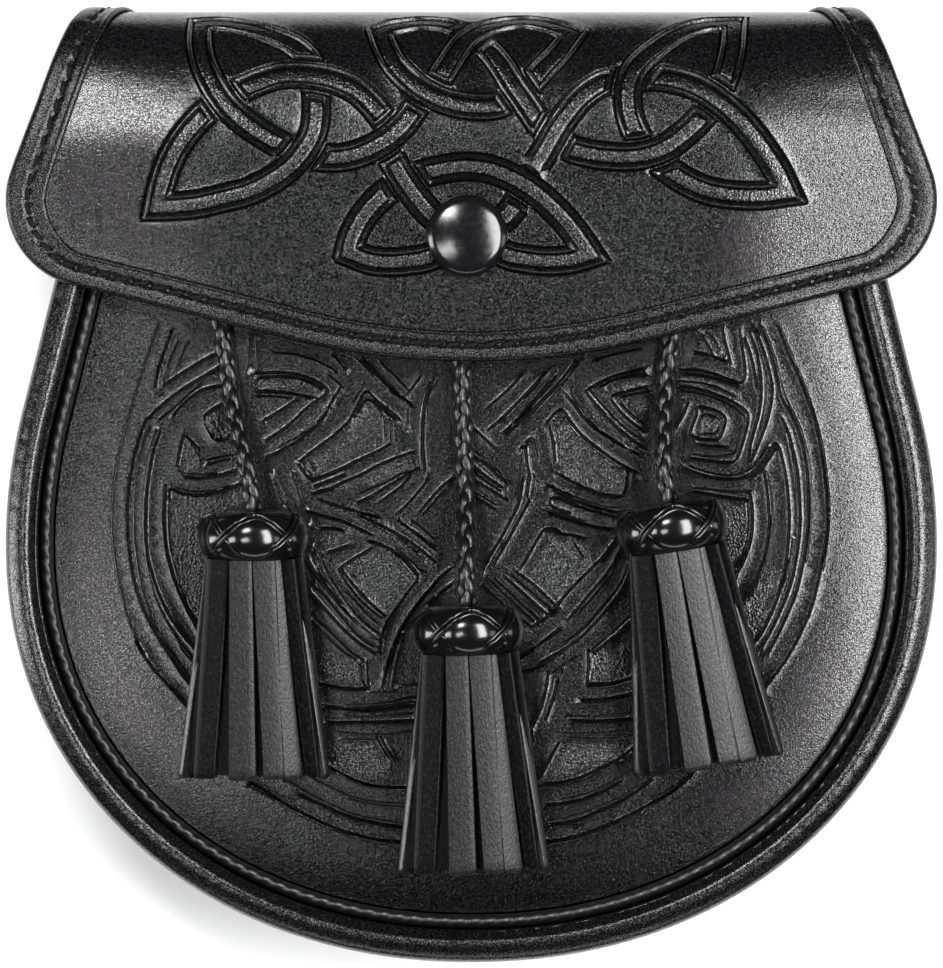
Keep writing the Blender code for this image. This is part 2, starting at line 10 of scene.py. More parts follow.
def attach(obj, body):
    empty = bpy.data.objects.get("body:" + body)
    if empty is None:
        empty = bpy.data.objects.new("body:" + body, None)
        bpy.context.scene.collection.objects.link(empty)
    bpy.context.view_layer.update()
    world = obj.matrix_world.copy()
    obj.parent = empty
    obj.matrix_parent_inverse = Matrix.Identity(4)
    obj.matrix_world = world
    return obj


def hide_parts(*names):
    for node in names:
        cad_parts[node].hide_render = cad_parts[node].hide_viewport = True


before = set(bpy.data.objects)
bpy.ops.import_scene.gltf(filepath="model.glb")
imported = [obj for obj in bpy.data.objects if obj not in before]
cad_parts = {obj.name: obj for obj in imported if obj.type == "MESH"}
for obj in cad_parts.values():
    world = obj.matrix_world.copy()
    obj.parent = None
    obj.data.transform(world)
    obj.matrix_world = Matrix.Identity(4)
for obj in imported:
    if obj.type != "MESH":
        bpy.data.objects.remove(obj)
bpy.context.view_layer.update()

# Sizes are in mm, and the pouch lies on its back: X runs across it, Y up it and Z out of its front.
MM = 0.001

# The camera looks straight down on the pouch from far off, so that 5 pixels are 1 mm at the cords' height.
CAMERA_HEIGHT = 2036.0
FOCAL_LENGTH = 371.9

# The body's outline
BODY_HALF = 93.3
WIDEST_Y = -12.0
BOTTOM_DEPTH = 83.8
BOTTOM_POWER = 2.1
SHOULDER_RADIUS = 109.0
SIDE_SLOPE = 0.25
BODY_TOP = 73.0
BACK_TOP = 76.0
PANEL_TOP = 62.0
PANEL_INSET = 9.9
PANEL_EDGE_Z = 31.8
PANEL_Z = 33.6
PANEL_WALL = 2.4

# The flap: p runs across the flat flap and q up it from the snap, and then over the roll to the back
FLAP_Z = 42.4
FLAP_WALL = 2.4
DATUM_Y = 49.5
ROLL_RADIUS = 17.8
ROLL_Y = 77.2
ROLL_Z = 24.6
ROLL_START = ROLL_Y - DATUM_Y
ROLL_END = ROLL_START + math.pi * ROLL_RADIUS
FLAP_END = ROLL_END + 22.0
FLAP_LOWEST = -25.1
FLAP_BOTTOM_RADIUS = 153.0
FLAP_BOTTOM_SLOPE = 0.252
FLAP_CORNER_RADIUS = 17.5
FLAP_SIDE_SLOPE = 0.35
FLAP_HALF_AT_TOP = 77.2
FLAP_INSET = 1.3
EASE_Y = 65.0  # where the flap's front begins to bend towards the roll
CROWN_START = 48.0
CROWN_STEADY = 62.0
CROWN_SLOPE = 0.1
SNAP_X = -0.9
SNAP_HOLE = 2.7

STITCH_PITCH = 3.8
STITCH_LENGTH = 2.6
STITCH_RADIUS = 0.38

# Small sizes: the gap between neighbours, the tabs, the belt loops' place, the leather's grain, the floor
FIT_GAP = 0.3
HOLE_SIDES = 40
TAB_SIZE = (8.0, 7.0, 4.4)
TAB_EDGE = 0.9
TAB_REACH = 3.8
LOOP_X = 48.0
PORE = 0.28
PUNCH = 0.5
FLOOR_SIZE = 400.0

# The lamps: name, place, size, watts and shape
LAMPS = (
    ("round lamp on the upper left", (-260.0, 400.0, 820.0), (240.0, 240.0), 4.6, "DISK"),
    ("large softbox on the right", (440.0, 75.0, 800.0), (700.0, 290.0), 13.0, "RECTANGLE"),
    ("small softbox on the lower left", (-260.0, -110.0, 800.0), (160.0, 220.0), 1.6, "RECTANGLE"),
    ("tall softbox on the far left", (-1300.0, -150.0, 420.0), (400.0, 1200.0), 18.0, "RECTANGLE"),
    ("tall softbox on the far right", (1300.0, -100.0, 420.0), (400.0, 900.0), 3.5, "RECTANGLE"),
    ("low softbox below", (0.0, -1400.0, 420.0), (1600.0, 300.0), 4.5, "RECTANGLE"),
)

# The tassels: the cap's middle, how far the tassel is turned, and the cord's route from under the flap
CAP_Z = 45.7
TASSEL_DIP = math.radians(6.5)
CAP_DIP = math.radians(2.5)
TASSELS = {
    "left": (
        (-43.5, -10.6),
        0.0,
        (
            (-51.6, 43.4, 36.0), (-50.7, 36.5, 36.0), (-49.8, 29.8, 36.0), (-48.7, 22.6, 36.0),
            (-48.3, 19.3, 36.6), (-47.8, 16.1, 37.9), (-47.1, 12.8, 39.9), (-46.1, 8.8, 42.5),
            (-45.0, 4.6, 45.2), (-44.2, 1.3, 46.5), (-43.6, -2.2, 46.9), (-43.5, -5.15, 46.5),
        ),
    ),
    "middle": (
        (-0.7, -29.4),
        1.3,
        (
            (-2.6, 36.1, 36.0), (-2.2, 29.3, 36.0), (-1.85, 22.5, 36.0), (-1.65, 16.0, 36.0),
            (-1.5, 10.0, 36.0), (-1.35, 3.8, 36.0), (-1.25, 0.5, 36.6), (-1.2, -2.7, 37.9),
            (-1.1, -6.0, 39.9), (-1.05, -10.0, 42.5), (-1.0, -14.2, 45.2), (-0.95, -17.5, 46.5),
            (-0.9, -21.0, 46.9), (-0.82, -23.95, 46.5),
        ),
    ),
    "right": (
        (40.1, -8.8),
        8.7,
        (
            (41.6, 40.2, 36.0), (40.7, 34.5, 36.0), (40.0, 29.0, 36.0), (39.4, 24.3, 36.0),
            (39.0, 21.0, 36.6), (38.65, 17.8, 37.9), (38.4, 14.5, 39.9), (38.3, 10.5, 42.5),
            (38.3, 6.3, 45.2), (38.5, 3.0, 46.5), (38.83, -0.5, 46.9), (39.28, -3.42, 46.5),
        ),
    ),
}
EYE_Z = 0.6  # the cast band round a cap lies this far above its middle
WAVE_HEIGHT = 3.8
BRAID_PITCH = 8.1  # half a turn of a strand
LACE_WIDTH = 2.3
LACE_THICKNESS = 1.2

GROOVE, RIDGE = "groove", "ridge"

# The flap's embossed knotwork: the middle lines of its bands, as (p, q)
KNOT_STRANDS = {
    "left_right_arc": (
        (-54.3, 45.6), (-51.1, 46.0), (-47.7, 45.3), (-42.9, 43.5), (-39.0, 41.4), (-35.7, 39.3),
        (-33.2, 36.7), (-31.9, 34.0), (-31.2, 30.9), (-31.0, 27.5), (-31.0, 23.9), (-31.5, 20.7),
        (-33.1, 17.5), (-36.0, 13.9), (-39.9, 11.1), (-44.5, 8.8), (-49.5, 7.5), (-54.7, 6.3),
        (-59.1, 5.9), (-62.8, 5.8),
    ),
    "left_lower_arc": (
        (-54.3, 45.6), (-54.5, 41.4), (-54.3, 38.3), (-53.7, 35.3), (-52.6, 32.4), (-50.9, 29.1),
        (-48.5, 25.7), (-45.1, 22.6), (-41.3, 20.0), (-37.3, 17.7), (-33.3, 16.1), (-29.1, 15.5),
        (-25.1, 15.7), (-21.1, 16.9), (-17.1, 19.1), (-13.5, 22.3), (-10.7, 26.5),
    ),
    "left_upper_arc": (
        (-62.8, 5.8), (-62.1, 9.3), (-60.6, 13.9), (-58.8, 17.6), (-56.5, 20.9), (-53.8, 23.9),
        (-51.1, 26.3), (-48.3, 28.2), (-45.5, 29.5), (-42.3, 30.9), (-38.5, 32.1), (-34.3, 32.3),
        (-30.3, 31.9), (-26.3, 30.8), (-22.7, 28.9), (-19.9, 26.3), (-17.9, 23.9),
    ),
    "middle_bottom_arc": (
        (-18.4, 42.9), (-17.5, 39.3), (-15.3, 34.5), (-11.1, 30.1), (-6.0, 27.3), (-0.1, 25.9),
        (5.7, 26.3), (10.5, 29.3), (14.2, 33.5), (16.9, 36.6), (18.9, 39.6), (20.4, 42.4),
    ),
    "middle_left_arc": (
        (-18.4, 42.9), (-16.7, 44.0), (-14.8, 45.0), (-10.3, 46.2), (-5.8, 45.6), (-2.9, 43.9),
        (0.1, 41.4), (3.1, 38.3), (5.6, 34.9), (8.1, 30.6), (10.7, 26.7), (13.7, 22.1),
    ),
    "middle_right_arc": (
        (20.4, 42.4), (18.7, 43.3), (14.8, 45.5), (10.5, 46.7), (6.2, 45.9), (2.6, 43.9),
        (-0.9, 40.9), (-2.7, 38.1), (-4.5, 34.9), (-6.3, 31.9),
    ),
    "right_left_arc": (
        (52.7, 46.0), (49.8, 45.9), (46.3, 45.3), (42.7, 43.3), (39.7, 41.0), (37.4, 38.8),
        (34.7, 36.2), (32.5, 33.4), (31.3, 29.9), (31.2, 26.3), (31.9, 22.7), (33.7, 18.9),
        (36.3, 15.7), (39.3, 13.1), (42.5, 11.0), (46.1, 9.3), (49.7, 8.4), (53.7, 8.0),
        (58.1, 8.0), (63.1, 8.7),
    ),
    "right_lower_arc": (
        (17.7, 18.5), (20.5, 17.1), (24.9, 16.1), (29.7, 15.7), (34.5, 16.1), (38.9, 17.7),
        (42.9, 20.7), (46.1, 23.9), (48.5, 27.5), (50.3, 30.9), (51.4, 34.5), (52.3, 39.1),
        (52.7, 46.0),
    ),
    "right_upper_arc": (
        (13.3, 14.9), (14.2, 16.1), (17.6, 22.1), (21.4, 27.1), (25.3, 30.1), (28.5, 31.2),
        (32.1, 31.7), (36.1, 31.8), (39.7, 31.4), (43.7, 30.3), (47.7, 28.2), (51.7, 25.0),
        (55.3, 21.3), (58.7, 16.7), (61.3, 12.5), (63.1, 8.7),
    ),
    "lower_top_arc": (
        (-24.6, -3.3), (-23.9, -0.7), (-22.3, 2.7), (-19.9, 5.9), (-16.9, 8.7), (-13.3, 10.9),
        (-9.1, 12.5), (-3.7, 13.6), (-0.3, 13.8), (3.5, 13.3), (7.3, 11.9), (11.1, 9.8),
        (14.5, 7.2), (17.9, 3.9), (20.7, 0.5), (23.6, -3.7),
    ),
    "lower_left_arc": (
        (-24.6, -3.3), (-20.3, -4.9), (-16.3, -5.3), (-12.3, -5.0), (-8.3, -4.2), (-0.9, -0.7),
        (5.7, 2.9), (8.5, 5.7), (9.7, 8.1),
    ),
    "lower_right_arc": (
        (23.6, -3.7), (19.7, -4.8), (14.7, -5.1), (9.7, -4.5), (6.7, -3.7), (-0.9, -0.1),
        (-4.5, 1.7), (-7.9, 4.1), (-11.1, 7.7), (-14.1, 12.1), (-16.3, 16.1),
    ),
}
# (strand that goes under, strand over it, place)
CROSSINGS = (
    ("left_right_arc", "left_upper_arc", (-31.9, 32.4)),
    ("left_lower_arc", "left_right_arc", (-34.9, 16.5)),
    ("left_lower_arc", "middle_bottom_arc", (-10.7, 26.5)),
    ("left_upper_arc", "left_lower_arc", (-51.1, 26.3)),
    ("left_upper_arc", "left_lower_arc", (-17.9, 23.9)),
    ("middle_bottom_arc", "middle_left_arc", (10.1, 28.9)),
    ("middle_left_arc", "middle_right_arc", (-0.3, 42.0)),
    ("middle_left_arc", "right_upper_arc", (13.7, 22.1)),
    ("middle_right_arc", "middle_bottom_arc", (-6.3, 31.9)),
    ("right_upper_arc", "right_left_arc", (31.3, 31.7)),
    ("right_left_arc", "right_lower_arc", (34.1, 18.1)),
    ("right_lower_arc", "right_upper_arc", (48.1, 26.9)),
    ("right_lower_arc", "right_upper_arc", (17.7, 18.5)),
    ("lower_top_arc", "lower_right_arc", (-14.3, 10.5)),
    ("lower_left_arc", "lower_top_arc", (9.7, 8.1)),
    ("lower_right_arc", "left_lower_arc", (-16.3, 16.1)),
)
# (strand, its end, strand, its end): the pairs of ends that meet in a point
KNOT_POINTS = (
    ("left_right_arc", 0, "left_lower_arc", 0),
    ("left_right_arc", -1, "left_upper_arc", 0),
    ("middle_bottom_arc", 0, "middle_left_arc", 0),
    ("middle_bottom_arc", -1, "middle_right_arc", 0),
    ("right_left_arc", 0, "right_lower_arc", -1),
    ("right_left_arc", -1, "right_upper_arc", -1),
    ("lower_top_arc", 0, "lower_left_arc", 0),
    ("lower_top_arc", -1, "lower_right_arc", 0),
)

# The front panel's medallion: its grooves and its fine raised lines, as (x, y, x, y ...)
MEDALLION = {
    "ring, left": (
        (RIDGE, -62.9, 31.2, -64.3, 27.8, -65.5, 23.8, -66.9, 19.4, -68.3, 14.8, -69.5, 10.8, -70.7, 5.8,
         -71.5, 1.4, -71.9, -3.2, -72.1, -9.2, -71.7, -13.2, -71.1, -17.6, -70.3, -21.6, -69.1, -26.4,
         -67.1, -31.2, -65.1, -34.8),
        (GROOVE, -68.3, 1.2, -68.9, -4.4, -68.7, -11.2, -67.9, -17.2, -66.7, -22.4, -64.7, -27.2, -62.7, -30.8,
         -60.3, -34.4, -57.9, -38.2, -55.9, -40.4),
        (GROOVE, -50.7, 23.4, -54.3, 21.2, -58.3, 18.8, -62.3, 15.6, -65.1, 12.8, -66.3, 10.0, -67.5, 5.6,
         -68.3, 1.2),
        (RIDGE, -64.3, 11.6, -65.5, 8.8, -66.7, 4.8, -67.3, 0.8, -67.7, -4.4, -67.6, -11.2, -66.9, -16.4,
         -66.1, -21.2, -64.3, -26.8, -62.3, -30.4, -59.5, -34.4, -56.3, -39.2),
        (RIDGE, -63.1, 10.6, -64.1, 7.6, -64.7, 4.8, -65.3, 0.8, -65.7, -3.2, -65.8, -9.2, -65.3, -15.2,
         -63.9, -21.2, -61.9, -26.0, -59.1, -30.8, -55.5, -35.2),
        (GROOVE, -62.3, 10.4, -63.5, 7.2, -64.3, 3.6, -64.8, -0.2, -65.1, -4.0, -65.2, -10.4, -64.7, -15.2,
         -63.1, -20.8, -60.7, -26.0, -58.3, -29.6, -54.9, -33.6),
        (GROOVE, -67.1, -31.6, -65.5, -34.4, -63.5, -37.2, -61.1, -39.8, -59.1, -42.0, -57.1, -44.4),
        (GROOVE, -61.3, -0.4, -61.6, -7.2, -61.1, -13.2, -60.1, -17.2, -58.7, -21.2, -56.7, -25.6, -54.5, -29.6),
        (RIDGE, -60.7, -0.8, -60.9, -7.2, -60.5, -12.8, -59.5, -16.8, -58.1, -21.6, -56.3, -25.6, -54.5, -28.8),
        (RIDGE, -58.7, -32.0, -57.1, -34.4, -55.1, -36.2),
    ),
    "upper left fan": (
        (GROOVE, -59.9, 30.8, -61.5, 26.4, -62.7, 22.8, -63.3, 19.4),
        (RIDGE, -58.5, 29.2, -60.5, 24.8, -61.7, 20.2),
        (GROOVE, -61.7, 19.8, -57.7, 22.4, -54.3, 24.6, -50.7, 26.4),
        (RIDGE, -56.9, 28.8, -57.9, 26.0, -59.3, 22.6),
        (RIDGE, -54.3, 20.0, -56.3, 18.2, -58.1, 16.6, -60.3, 14.6, -62.7, 12.8),
        (GROOVE, -49.9, 19.8, -53.5, 19.2, -56.3, 17.4, -58.7, 15.0, -59.9, 13.2),
        (GROOVE, -49.5, 16.4, -51.9, 15.0, -53.7, 13.6, -52.5, 10.8, -51.5, 8.6, -49.5, 9.0, -48.3, 9.8),
        (RIDGE, -53.3, 12.6, -52.3, 10.4, -51.3, 8.8),
        (RIDGE, -52.1, 12.8, -50.3, 9.6),
        (RIDGE, -51.1, 13.4, -49.3, 10.0),
    ),
    "left corner": (
        (GROOVE, -57.5, 10.0, -58.3, 7.2, -58.9, 3.6),
        (GROOVE, -57.1, 9.6, -55.9, 8.4, -54.5, 7.0),
        (RIDGE, -56.3, 8.6, -55.1, 6.4, -54.3, 4.6),
        (RIDGE, -53.1, 4.8, -50.3, 5.4, -48.1, 5.8),
        (RIDGE, -52.7, 4.0, -50.3, 4.6, -48.3, 5.0),
        (RIDGE, -58.9, 2.6, -57.1, 2.0, -54.3, 1.8, -51.5, 2.2),
        (GROOVE, -57.5, 1.4, -54.3, 1.1, -50.3, 1.8, -46.7, 3.0),
        (RIDGE, -59.9, -0.6, -56.3, -1.6, -53.5, -1.6, -51.1, -1.2, -48.7, -0.5),
        (GROOVE, -60.5, -3.2, -60.5, -0.4, -58.7, -1.8, -54.3, -2.4, -50.3, -1.7, -46.7, 0.0),
    ),
    "left lens": (
        (RIDGE, -44.3, 28.6, -44.5, 23.6),
        (RIDGE, -42.9, 28.6, -42.9, 26.4, -42.5, 22.8),
        (RIDGE, -39.5, 26.2, -36.3, 26.1, -33.1, 25.4, -30.3, 24.4, -27.5, 22.8),
        (RIDGE, -27.3, 25.4, -25.7, 23.4),
        (GROOVE, -43.1, 22.2, -38.3, 22.4, -34.7, 22.0, -31.9, 21.0, -29.5, 19.6, -28.3, 18.6, -29.9, 17.4,
         -32.3, 15.8, -34.3, 14.0, -36.3, 12.0, -38.3, 10.6, -41.1, 8.8),
        (GROOVE, -42.7, 21.2, -38.3, 21.6, -34.7, 21.2, -32.3, 20.4, -29.9, 19.0),
        (RIDGE, -28.9, 22.2, -27.1, 20.6, -25.3, 19.0, -25.7, 17.4, -26.9, 15.8),
        (GROOVE, -26.5, 18.8, -27.9, 16.6, -29.9, 12.6, -32.3, 10.4, -34.7, 8.6, -38.3, 6.6, -41.1, 5.4),
        (RIDGE, -28.3, 15.4, -29.9, 13.4, -32.3, 11.2, -34.7, 9.4, -38.3, 7.6),
        (GROOVE, -42.7, 18.6, -38.3, 18.5, -34.3, 17.8, -31.7, 17.2),
        (RIDGE, -42.7, 17.6, -39.9, 17.6, -36.7, 17.2),
        (GROOVE, -41.5, 12.8, -39.5, 14.0, -37.5, 15.2, -34.9, 17.0),
        (RIDGE, -39.9, 1.2, -39.1, -1.2, -37.9, -4.2),
        (RIDGE, -38.9, 1.8, -37.9, -0.6, -36.5, -4.8),
        (RIDGE, -36.1, 2.0, -35.1, -1.0, -33.9, -4.8),
        (RIDGE, -35.5, 2.2, -34.3, -1.0, -33.1, -5.2),
    ),
    "left field": (
        (GROOVE, -34.3, 4.6, -31.1, 7.2, -28.7, 8.8, -26.3, 10.8, -24.3, 12.8, -23.1, 15.2, -21.9, 17.6,
         -21.1, 19.0, -19.1, 16.8, -17.1, 15.2, -15.5, 14.0, -14.3, 12.8),
        (GROOVE, -15.1, 13.0, -17.5, 14.6, -19.1, 16.0, -20.7, 17.2, -21.9, 16.0, -23.3, 13.6),
        (RIDGE, -21.9, 19.2, -22.9, 17.6, -23.7, 16.2),
        (RIDGE, -19.1, 15.6, -17.7, 13.8, -17.5, 8.8),
        (RIDGE, -16.5, 13.0, -16.4, 8.2),
        (RIDGE, -15.6, 12.6, -15.4, 8.0),
        (GROOVE, -16.7, 7.8, -19.1, 6.4, -22.3, 5.0, -26.3, 3.0, -30.3, 1.4, -32.3, 0.6, -34.3, 3.4),
        (RIDGE, -33.5, 4.0, -31.9, 1.4),
        (RIDGE, -32.5, 4.6, -30.9, 2.0),
        (RIDGE, -22.3, 24.6, -20.3, 22.4, -17.1, 19.2, -14.3, 17.2, -11.9, 15.6),
        (RIDGE, -21.1, 24.4, -18.3, 22.0, -15.9, 19.4, -13.5, 17.2),
        (GROOVE, -21.7, 24.6, -19.7, 22.4, -16.5, 19.4, -13.9, 17.2, -11.9, 16.0),
        (RIDGE, -17.9, 24.0, -15.9, 22.2, -12.9, 19.0),
        (GROOVE, -10.3, 21.4, -11.5, 19.8, -12.5, 18.4),
        (RIDGE, -12.3, 15.4, -12.3, 11.8),
        (RIDGE, -13.1, 15.2, -13.1, 12.2),
        (GROOVE, -7.5, 21.2, -8.5, 18.8, -9.5, 15.6, -9.7, 12.4, -9.8, 7.2, -9.3, 2.8),
        (RIDGE, -6.9, 20.8, -7.9, 18.6, -8.9, 15.8, -9.1, 12.4, -9.2, 7.2, -8.7, 2.8),
        (RIDGE, -8.3, 20.2, -9.5, 17.8, -10.1, 15.2, -10.3, 12.0, -10.4, 7.2, -10.1, 3.2),
        (GROOVE, -31.5, -1.8, -27.9, -0.8, -24.7, 0.8, -21.9, 2.0, -19.1, 3.6, -15.9, 5.0, -11.9, 6.4),
        (GROOVE, -31.5, -0.4, -28.3, 0.8, -25.3, 2.0),
        (RIDGE, -12.1, 5.4, -11.3, 3.8),
        (GROOVE, -22.7, -3.6, -20.3, -2.6, -17.5, -0.8, -14.3, 1.0, -11.9, 2.6, -10.3, 3.4),
        (RIDGE, -22.3, -1.8, -17.5, 0.2, -14.7, 1.6, -12.7, 2.8),
        (GROOVE, -18.3, -3.6, -15.9, -1.8, -13.9, -0.4, -12.3, 1.4),
        (GROOVE, -14.7, -5.8, -12.7, -4.0, -10.3, -1.2, -8.7, 0.8),
        (GROOVE, -10.7, -6.0, -8.7, -3.6, -6.3, -0.8, -3.9, 1.2),
        (RIDGE, -9.5, -6.0, -7.5, -3.6, -5.1, -1.0),
    ),
    "left diamond": (
        (GROOVE, -30.7, -3.0, -27.9, -4.0, -24.7, -5.0, -21.5, -6.0, -18.3, -6.8),
        (RIDGE, -25.1, -5.4, -21.9, -6.4, -18.3, -7.3),
        (GROOVE, -33.1, -5.4, -29.5, -6.4, -25.9, -7.4, -22.3, -9.0, -19.9, -10.2),
        (GROOVE, -23.1, -6.0, -19.9, -7.4, -16.7, -9.0, -13.5, -10.8, -10.3, -13.0, -7.1, -15.6),
        (RIDGE, -19.5, -8.2, -16.3, -9.8, -13.5, -11.6, -10.7, -13.8),
        (GROOVE, -30.1, -8.8, -27.5, -8.8, -25.7, -9.4),
        (GROOVE, -28.7, -13.6, -26.7, -13.0, -24.5, -12.2),
        (GROOVE, -20.7, -11.4, -18.3, -12.0, -15.9, -13.2, -13.9, -14.8, -11.9, -16.6, -10.3, -18.6, -12.7, -21.6,
         -14.7, -24.4, -16.7, -27.2, -17.9, -30.0, -18.3, -33.2),
        (GROOVE, -26.5, -17.0, -24.7, -15.6, -22.3, -14.2, -20.3, -13.0),
        (RIDGE, -15.1, -13.2, -12.7, -15.0, -9.9, -17.4),
        (RIDGE, -14.7, -14.4, -12.7, -16.4, -10.9, -18.4),
        (RIDGE, -13.9, -15.6, -11.9, -18.0),
        (RIDGE, -26.7, -17.2, -25.1, -19.6, -23.1, -22.4, -20.7, -24.8, -17.5, -27.2),
        (GROOVE, -26.1, -17.0, -24.3, -19.4, -22.3, -21.8, -19.9, -24.2, -17.3, -26.4),
        (RIDGE, -25.1, -21.6, -23.1, -23.6, -21.1, -26.0, -18.5, -28.2),
        (RIDGE, -31.9, -8.6, -30.9, -11.6, -29.9, -15.2, -28.3, -18.8, -26.3, -21.6, -24.3, -24.8, -21.1, -28.0,
         -17.7, -30.6),
        (RIDGE, -31.9, -12.8, -31.1, -14.4, -30.7, -15.8),
        (GROOVE, -32.7, -15.2, -31.1, -18.0, -29.1, -20.8, -26.3, -24.4, -23.1, -27.6, -19.5, -30.6),
        (RIDGE, -30.3, -18.0, -27.9, -21.4, -25.5, -25.0, -22.3, -28.4, -18.5, -31.4),
        (RIDGE, -31.1, -20.4, -28.7, -23.2, -25.9, -26.8, -23.1, -30.0, -19.9, -32.4, -18.7, -32.8),
        (GROOVE, -32.3, -21.6, -29.1, -25.2, -25.9, -28.8, -22.3, -32.0, -19.1, -34.0),
        (RIDGE, -34.3, -16.4, -32.7, -19.2),
        (RIDGE, -32.3, -25.2, -30.3, -27.6, -27.5, -30.4, -24.7, -33.2, -21.9, -35.2),
        (RIDGE, -31.9, -27.2, -29.1, -30.4, -26.3, -33.2, -23.1, -35.2),
        (GROOVE, -14.3, -7.6, -11.9, -9.2, -9.5, -11.2, -7.1, -13.2),
        (RIDGE, -13.5, -8.0, -10.7, -10.0, -7.5, -12.4),
        (RIDGE, -11.5, -7.6, -9.5, -9.2, -7.5, -11.0),
        (GROOVE, -3.9, -16.8, -6.3, -18.8, -8.7, -21.6, -10.7, -24.0, -12.7, -26.8, -14.3, -29.6, -15.5, -32.4,
         -16.3, -35.2, -17.1, -37.6, -17.7, -40.6),
        (RIDGE, -4.7, -17.2, -7.1, -19.4, -9.3, -22.0, -11.5, -24.8, -13.5, -27.8, -15.1, -30.8, -16.5, -34.4,
         -17.5, -37.2),
        (GROOVE, -3.5, -19.6, -6.3, -22.0, -8.7, -24.2),
        (RIDGE, -4.1, -20.0, -6.7, -22.0, -9.1, -24.0),
        (RIDGE, -13.5, -30.0, -14.3, -32.8, -15.3, -36.4, -15.9, -40.4),
    ),
    "lower left levels": (
        (GROOVE, -30.3, -40.0, -26.3, -40.8, -22.3, -41.0, -20.5, -41.0),
        (RIDGE, -20.9, -36.0, -20.9, -38.4, -20.5, -40.6),
        (RIDGE, -22.3, -36.2, -22.1, -39.2, -21.1, -40.6),
        (RIDGE, -20.3, -41.8, -17.5, -41.8, -15.1, -41.4),
        (RIDGE, -14.3, -40.4, -12.3, -40.2, -10.5, -40.0),
        (RIDGE, -25.1, -44.2, -20.3, -44.2, -15.9, -43.6, -13.5, -42.8, -11.1, -42.6),
        (GROOVE, -29.3, -44.4, -25.3, -45.0, -21.5, -45.4, -16.7, -45.0, -13.5, -44.4, -11.1, -44.4),
        (RIDGE, -25.5, -44.9, -21.5, -44.9, -16.7, -44.4, -13.5, -43.8, -11.1, -43.6),
        (RIDGE, -25.1, -46.4, -22.3, -46.8, -18.3, -46.5, -14.3, -46.1, -11.5, -45.8),
        (GROOVE, -29.1, -47.7, -25.1, -47.7, -19.1, -47.6, -14.3, -47.4, -10.7, -47.2),
        (RIDGE, -26.3, -49.8, -22.3, -50.2, -17.5, -50.2, -14.3, -49.7, -11.7, -49.4),
        (RIDGE, -25.9, -51.2, -22.3, -51.3, -18.9, -51.2),
        (RIDGE, -18.9, -50.8, -17.9, -52.8, -16.3, -55.2),
        (GROOVE, -18.1, -50.8, -17.1, -52.8, -15.5, -55.2),
        (GROOVE, -28.7, -56.4, -26.3, -57.9, -23.1, -59.5, -19.1, -60.6, -15.1, -60.8, -12.9, -60.7),
        (RIDGE, -28.3, -57.0, -25.1, -58.8, -21.5, -60.3, -18.3, -61.0, -15.5, -61.3, -12.9, -61.2),
    ),
    "lower left ring": (
        (RIDGE, -31.9, -58.8, -29.1, -60.4, -25.9, -62.0, -22.3, -63.2, -17.5, -64.0, -13.1, -64.0),
        (RIDGE, -24.3, -63.2, -20.3, -64.2, -15.9, -64.7, -13.3, -64.8),
        (RIDGE, -36.3, -59.8, -32.3, -62.2, -28.3, -64.2, -24.3, -66.0, -20.3, -67.0, -16.7, -67.6, -13.5, -68.1),
        (GROOVE, -34.3, -62.2, -30.3, -64.0, -26.3, -66.0, -22.3, -67.2, -18.3, -68.0, -13.9, -68.7),
        (GROOVE, -43.9, -60.0, -40.3, -62.0, -38.3, -63.4, -34.3, -65.6, -30.3, -67.6, -26.3, -69.3, -22.3, -70.5,
         -18.3, -71.3, -14.1, -71.7),
        (RIDGE, -44.3, -60.6, -40.3, -62.8, -37.5, -64.6, -33.5, -66.6, -29.5, -68.5, -25.5, -70.0, -21.5, -71.2,
         -17.5, -72.0, -14.1, -72.3),
    ),
    "upper right bands": (
        (RIDGE, 15.7, 23.2, 13.3, 20.0, 10.9, 17.4, 8.9, 15.2, 6.5, 12.8),
        (GROOVE, 14.9, 22.4, 11.7, 18.8, 7.7, 14.8, 5.7, 12.8, 3.3, 10.8),
        (RIDGE, 16.9, 22.4, 14.9, 19.6, 12.5, 16.8, 10.1, 14.2, 7.3, 10.8),
        (GROOVE, 16.9, 21.4, 14.5, 18.6, 12.1, 15.8, 9.3, 12.8, 6.1, 10.2),
        (RIDGE, 20.1, 24.4, 17.7, 21.2, 14.9, 18.2, 12.5, 15.6, 10.1, 13.2),
        (GROOVE, 20.9, 24.4, 18.1, 21.0, 15.5, 18.0, 12.9, 15.2, 9.7, 12.2, 6.7, 9.8),
        (RIDGE, 21.5, 24.2, 18.9, 20.8, 15.7, 17.4, 13.1, 14.6, 10.3, 11.8),
        (GROOVE, 9.9, 21.8, 8.1, 19.6, 5.7, 17.4, 3.3, 15.4),
        (GROOVE, 0.1, 11.6, 2.1, 9.6, 4.5, 7.4),
        (GROOVE, 0.5, 5.6, 2.9, 4.0, 4.9, 2.0, 6.9, 0.4),
        (RIDGE, 0.9, 6.4, 3.7, 4.0, 7.3, 0.8),
        (GROOVE, 0.5, 3.6, 3.3, 1.2, 6.1, -0.6),
        (RIDGE, 0.5, 2.4, 2.9, 0.6, 5.7, -1.4),
        (GROOVE, 0.1, 1.2, 2.9, -0.6, 6.5, -2.8),
        (RIDGE, 6.9, -0.8, 6.9, -2.6),
        (RIDGE, 12.1, 9.0, 12.7, 7.2, 13.3, 4.6),
        (RIDGE, 12.7, 9.2, 13.5, 6.8, 13.8, 4.0),
        (GROOVE, 9.7, 7.0, 11.7, 9.2),
        (RIDGE, 10.5, 8.0, 10.2, 4.4, 9.9, 0.8, 9.3, -3.2),
        (GROOVE, 10.9, 7.2, 11.1, 4.0, 11.7, 2.0, 11.1, -2.4),
        (RIDGE, 9.5, 5.6, 9.3, 1.2, 8.7, -3.2),
